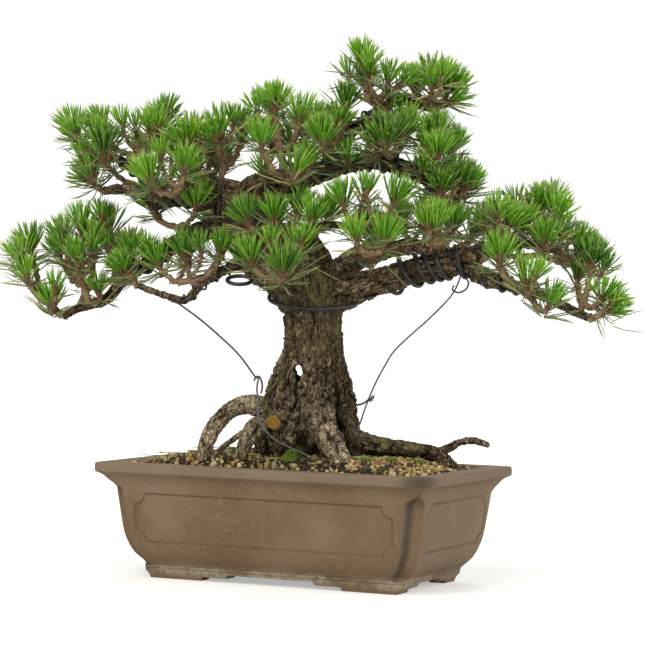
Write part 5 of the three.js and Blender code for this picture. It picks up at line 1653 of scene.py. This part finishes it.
def add_side_twigs(growth, room, shoot, own, kinds):
    """Short twigs beside a shoot's own, each with a smaller tuft, where there is room"""
    draw = growth.draw
    twig = shoot["twig"]
    start_turn = draw.random() * 2 * math.pi
    for k in range(int(draw.choice([0, 1, 1, 1, 2]))):
        share = 0.45 + 0.25 * k + 0.1 * draw.random()
        start = twig.at(share)
        turn = start_turn + k * 2.3 + 0.4 * draw.random()
        way = unit(leaned(shoot["aim"], math.radians(draw.uniform(48, 72)), turn))
        length = draw.uniform(11, 19)
        end = start + way * length + UP * length * 0.45
        if not room.is_free(start + way * 3, end, SIDE_TWIG_RADIUS, own):
            continue
        bend = start + way * length * 0.6
        points = SmoothLine([start, bend, end]).at(np.linspace(0, 1, 7))
        growth.add_twig(points, 1.9, 1.5)
        small_aim = unit(shoot["aim"] + 0.35 * way)
        room.take_line([start, end], SIDE_TWIG_RADIUS, shoot["name"])
        growth.add_tuft(end, small_aim, 1, 13, kinds, NEEDLE_LENGTH * 0.84, 5)


# Patches of moss on the soil: the place, the radius and how high the middle swells
MOSS_PATCHES = [([48, -56], 8, 2.4), ([70, -50], 7, 2.4), ([-11, -47], 7, 7.0), ([94, -34], 7, 2.4),
    ([-96, -36], 5, 2.4), ([26, 44], 13, 2.4), ([-60, 40], 11, 2.4)]


def soil_height(x, y):
    left = (np.abs([x, y]) / SOIL_EDGE[:, None]).max(axis=0)
    return np.interp(1 - left, MOUND_SHARES, MOUND_HEIGHTS)


def lying_growth():
    """Short blades of moss in patches on the soil, and dry needles that have fallen on it"""
    draw = np.random.default_rng(53)
    moss = []
    for (across, depth), radius, rise in MOSS_PATCHES:
        count = int(1.08 * rise * radius**2)
        spread = radius * np.sqrt(draw.random(count))
        angle = draw.random(count) * 2 * math.pi
        middle = place([across, depth, 0])
        x, y = middle[0] + spread * np.cos(angle), middle[1] + spread * np.sin(angle)
        swell = rise * (1 - (spread / radius) ** 2)
        roots = np.column_stack([x, y, soil_height(x, y) + swell - 0.6])
        aims = unit(np.column_stack([draw.normal(0, 0.5, (count, 2)), np.ones(count)]))
        moss.append(np.column_stack([roots, aims, draw.uniform(1.6, 3.4, count)]))
    count = 46
    x, y = draw.uniform(-112, 112, count), draw.uniform(-58, 58, count)
    turn = draw.random(count) * 2 * math.pi
    aims = np.column_stack([np.cos(turn), np.sin(turn), draw.uniform(0.0, 0.12, count)])
    roots = np.column_stack([x, y, soil_height(x, y) + 2.6])
    return np.vstack(moss), np.column_stack([roots, unit(aims), draw.uniform(14, 25, count)])


def drop_pierced(needles, samples):
    """Leaves out the needles that would run into the wood"""
    roots, aims, lengths = needles[:, :3], needles[:, 3:6], needles[:, 6:7]
    keep = np.ones(len(needles), bool)
    for share in (0.35, 0.65, 1.0):
        spots = roots + aims * lengths * share
        near = samples.nearest(spots)
        gap = norm(spots - samples.spots[near], axis=1) - samples.radius[near]
        keep &= gap > LEAST_GAP
    return needles[keep]


def needle_piece(name, needles, material, sizes, seed):
    draw = np.random.default_rng(seed)
    obj = link_mesh(name, needles[:, :3], [])
    spin = draw.random(len(needles)) * 2 * math.pi
    girth = draw.uniform(0.85, 1.15, len(needles))
    add_attributes(obj, aim=needles[:, 3:6], size=needles[:, 6] * MM, spin=spin, girth=girth)
    grow_piece(obj, grow_needles, sizes, material)


def make_foliage():
    growth = grow_foliage()
    twig_bark = flecked_finish("twig_bark", (0.34, 0.225, 0.125), (0.12, 0.075, 0.04), (0.6, 0.46, 0.31),
        260.0, 0.8, 0.0009, specular=0.2)
    grow_piece(line_object("twigs", growth.twigs), round_line,
        {"Sides": 8, "Knob Height": 0.0034, "Knob Scale": 330.0}, twig_bark,
        [mass[0] for mass in MASSES])
    candle_bark = flecked_finish("candle_bark", (0.19, 0.088, 0.042), (0.1, 0.042, 0.022),
        (0.38, 0.24, 0.14), 420.0, 0.7, 0.0006, specular=0.25)
    grow_piece(line_object("candles", growth.candles), round_line,
        {"Sides": 6, "Knob Height": 0.0012, "Knob Scale": 700.0}, candle_bark)
    skins = {kind: needle_finish(f"needle_{kind}", *colours) for kind, colours in NEEDLE_COLOURS.items()}
    skins["sheath"] = flecked_finish("needle_sheath", (0.26, 0.135, 0.075), (0.15, 0.065, 0.035),
        (0.5, 0.4, 0.29), 500.0, 0.6, 0.0002)
    skins["scale"] = flecked_finish("bud_scale", (0.33, 0.21, 0.115), (0.15, 0.085, 0.045),
        (0.55, 0.42, 0.28), 500.0, 0.75, 0.0002)
    samples = LimbSamples([TRUNK, *BOUGHS])
    sizes = {"sheath": {"Width": 0.0015, "Thickness Share": 0.9, "Bend": 0.0, "Taper From": 0.3, "Steps": 1},
        "scale": {"Width": 0.0016, "Thickness Share": 0.5, "Bend": 0.0006, "Taper From": 0.3, "Steps": 1},
        "old": {"Width": 0.0011, "Bend": 0.0035}}
    moss, fallen = lying_growth()
    growth.needles["straw"].append(fallen)
    moss_skin = flecked_finish("moss_blade", (0.15, 0.26, 0.02), (0.06, 0.13, 0.01), (0.34, 0.44, 0.06),
        300.0, 0.6, 0.0001)
    blade = {"Width": 0.0009, "Bend": 0.0004, "Taper From": 0.3, "Steps": 1}
    needle_piece("moss_blades", moss, moss_skin, blade, 88)
    for number, (kind, blocks) in enumerate(growth.needles.items()):
        needles = np.vstack(blocks)
        if kind not in ("sheath", "scale"):
            needles = drop_pierced(needles, samples)
        needle_piece(f"needles_{kind}", needles, skins[kind], sizes.get(kind, {}), 90 + number)


# Studio
CAMERA = {"azimuth": 25.565, "elevation": 1.036, "roll": 1.002, "distance": 2238.839, "focal_pixels": 2700.0,
    "target": (16.408, 0.0, 212.022)}
IMAGE_SIZE = 650
SENSOR_WIDTH = 36.0


def make_camera():
    azimuth, elevation, roll = (math.radians(CAMERA[key]) for key in ("azimuth", "elevation", "roll"))
    level = Vector((math.cos(azimuth), math.sin(azimuth), 0))
    away = Vector((-level.y, level.x, 0))
    back = Vector((0, 0, math.sin(elevation))) - away * math.cos(elevation)
    upright = level.cross(-back)
    right = level * math.cos(roll) + upright * math.sin(roll)
    top = upright * math.cos(roll) - level * math.sin(roll)
    data = bpy.data.cameras.new("camera")
    data.sensor_width = SENSOR_WIDTH
    data.lens = CAMERA["focal_pixels"] / IMAGE_SIZE * SENSOR_WIDTH
    data.clip_end = 50
    camera = new_object("camera", data)
    spot = Vector(in_metres(np.array(CAMERA["target"]))) + back * CAMERA["distance"] * MM
    camera.matrix_world = Matrix.Translation(spot) @ Matrix((right, top, back)).transposed().to_4x4()
    bpy.context.scene.camera = camera


def add_light(name, spot, aimed_at, size, power):
    data = bpy.data.lights.new(name, "AREA")
    data.shape = "DISK"
    data.size = size
    data.energy = power
    data.color = (1.0, 0.955, 0.87)
    light = new_object(name, data)
    start, end = (Vector(in_metres(place(point))) for point in (spot, aimed_at))
    light.location = start
    light.rotation_euler = (end - start).to_track_quat("-Z", "Y").to_euler()


def make_studio():
    floor_radius = 6000.0
    sides = 64
    angles = circle_turns(sides)
    disc = floor_radius * around(angles, *np.eye(3)[:2]) - 0.3 * UP
    floor = link_mesh("studio_floor", disc, [range(sides)])
    paper = Finish("studio_paper", Base_Color=(0.84, 0.84, 0.84), Roughness=0.9, Specular_IOR_Level=0.1,
        Emission_Color=(1, 1, 1))
    from_pot = paper.vector("LENGTH", paper.spot(), output="Value")
    glow = paper.plus(paper.times(paper.step(from_pot, 0.3, 1.6), 0.34), 0.42)
    paper.feed(paper.shader["Emission Strength"], paper.times(paper.seen(), glow))
    floor.data.materials.append(paper.material)

    world = bpy.data.worlds.new("white_studio")
    bpy.context.scene.world = world
    world.use_nodes = True
    board = NodeBoard(world.node_tree)
    soft_light = 0.45
    background = world.node_tree.nodes["Background"].inputs
    board.feed(background["Color"], (1, 0.99, 0.965))
    board.feed(background["Strength"], board.plus(board.times(board.seen(), 1.12 - soft_light), soft_light))

    middle = [0, 0, 230]
    add_light("key_light", [-750, -1350, 1350], middle, 1.1, 19)
    add_light("fill_light", [1300, -900, 650], middle, 1.4, 10)
    add_light("rim_light", [300, 1300, 1500], middle, 1.2, 8)
    bpy.context.scene.view_settings.view_transform = "Standard"
    make_camera()


make_studio()
make_pot()
make_soil()
make_boughs()
make_trunk()
make_sawn_face()
make_coils()
make_wires()
make_foliage()
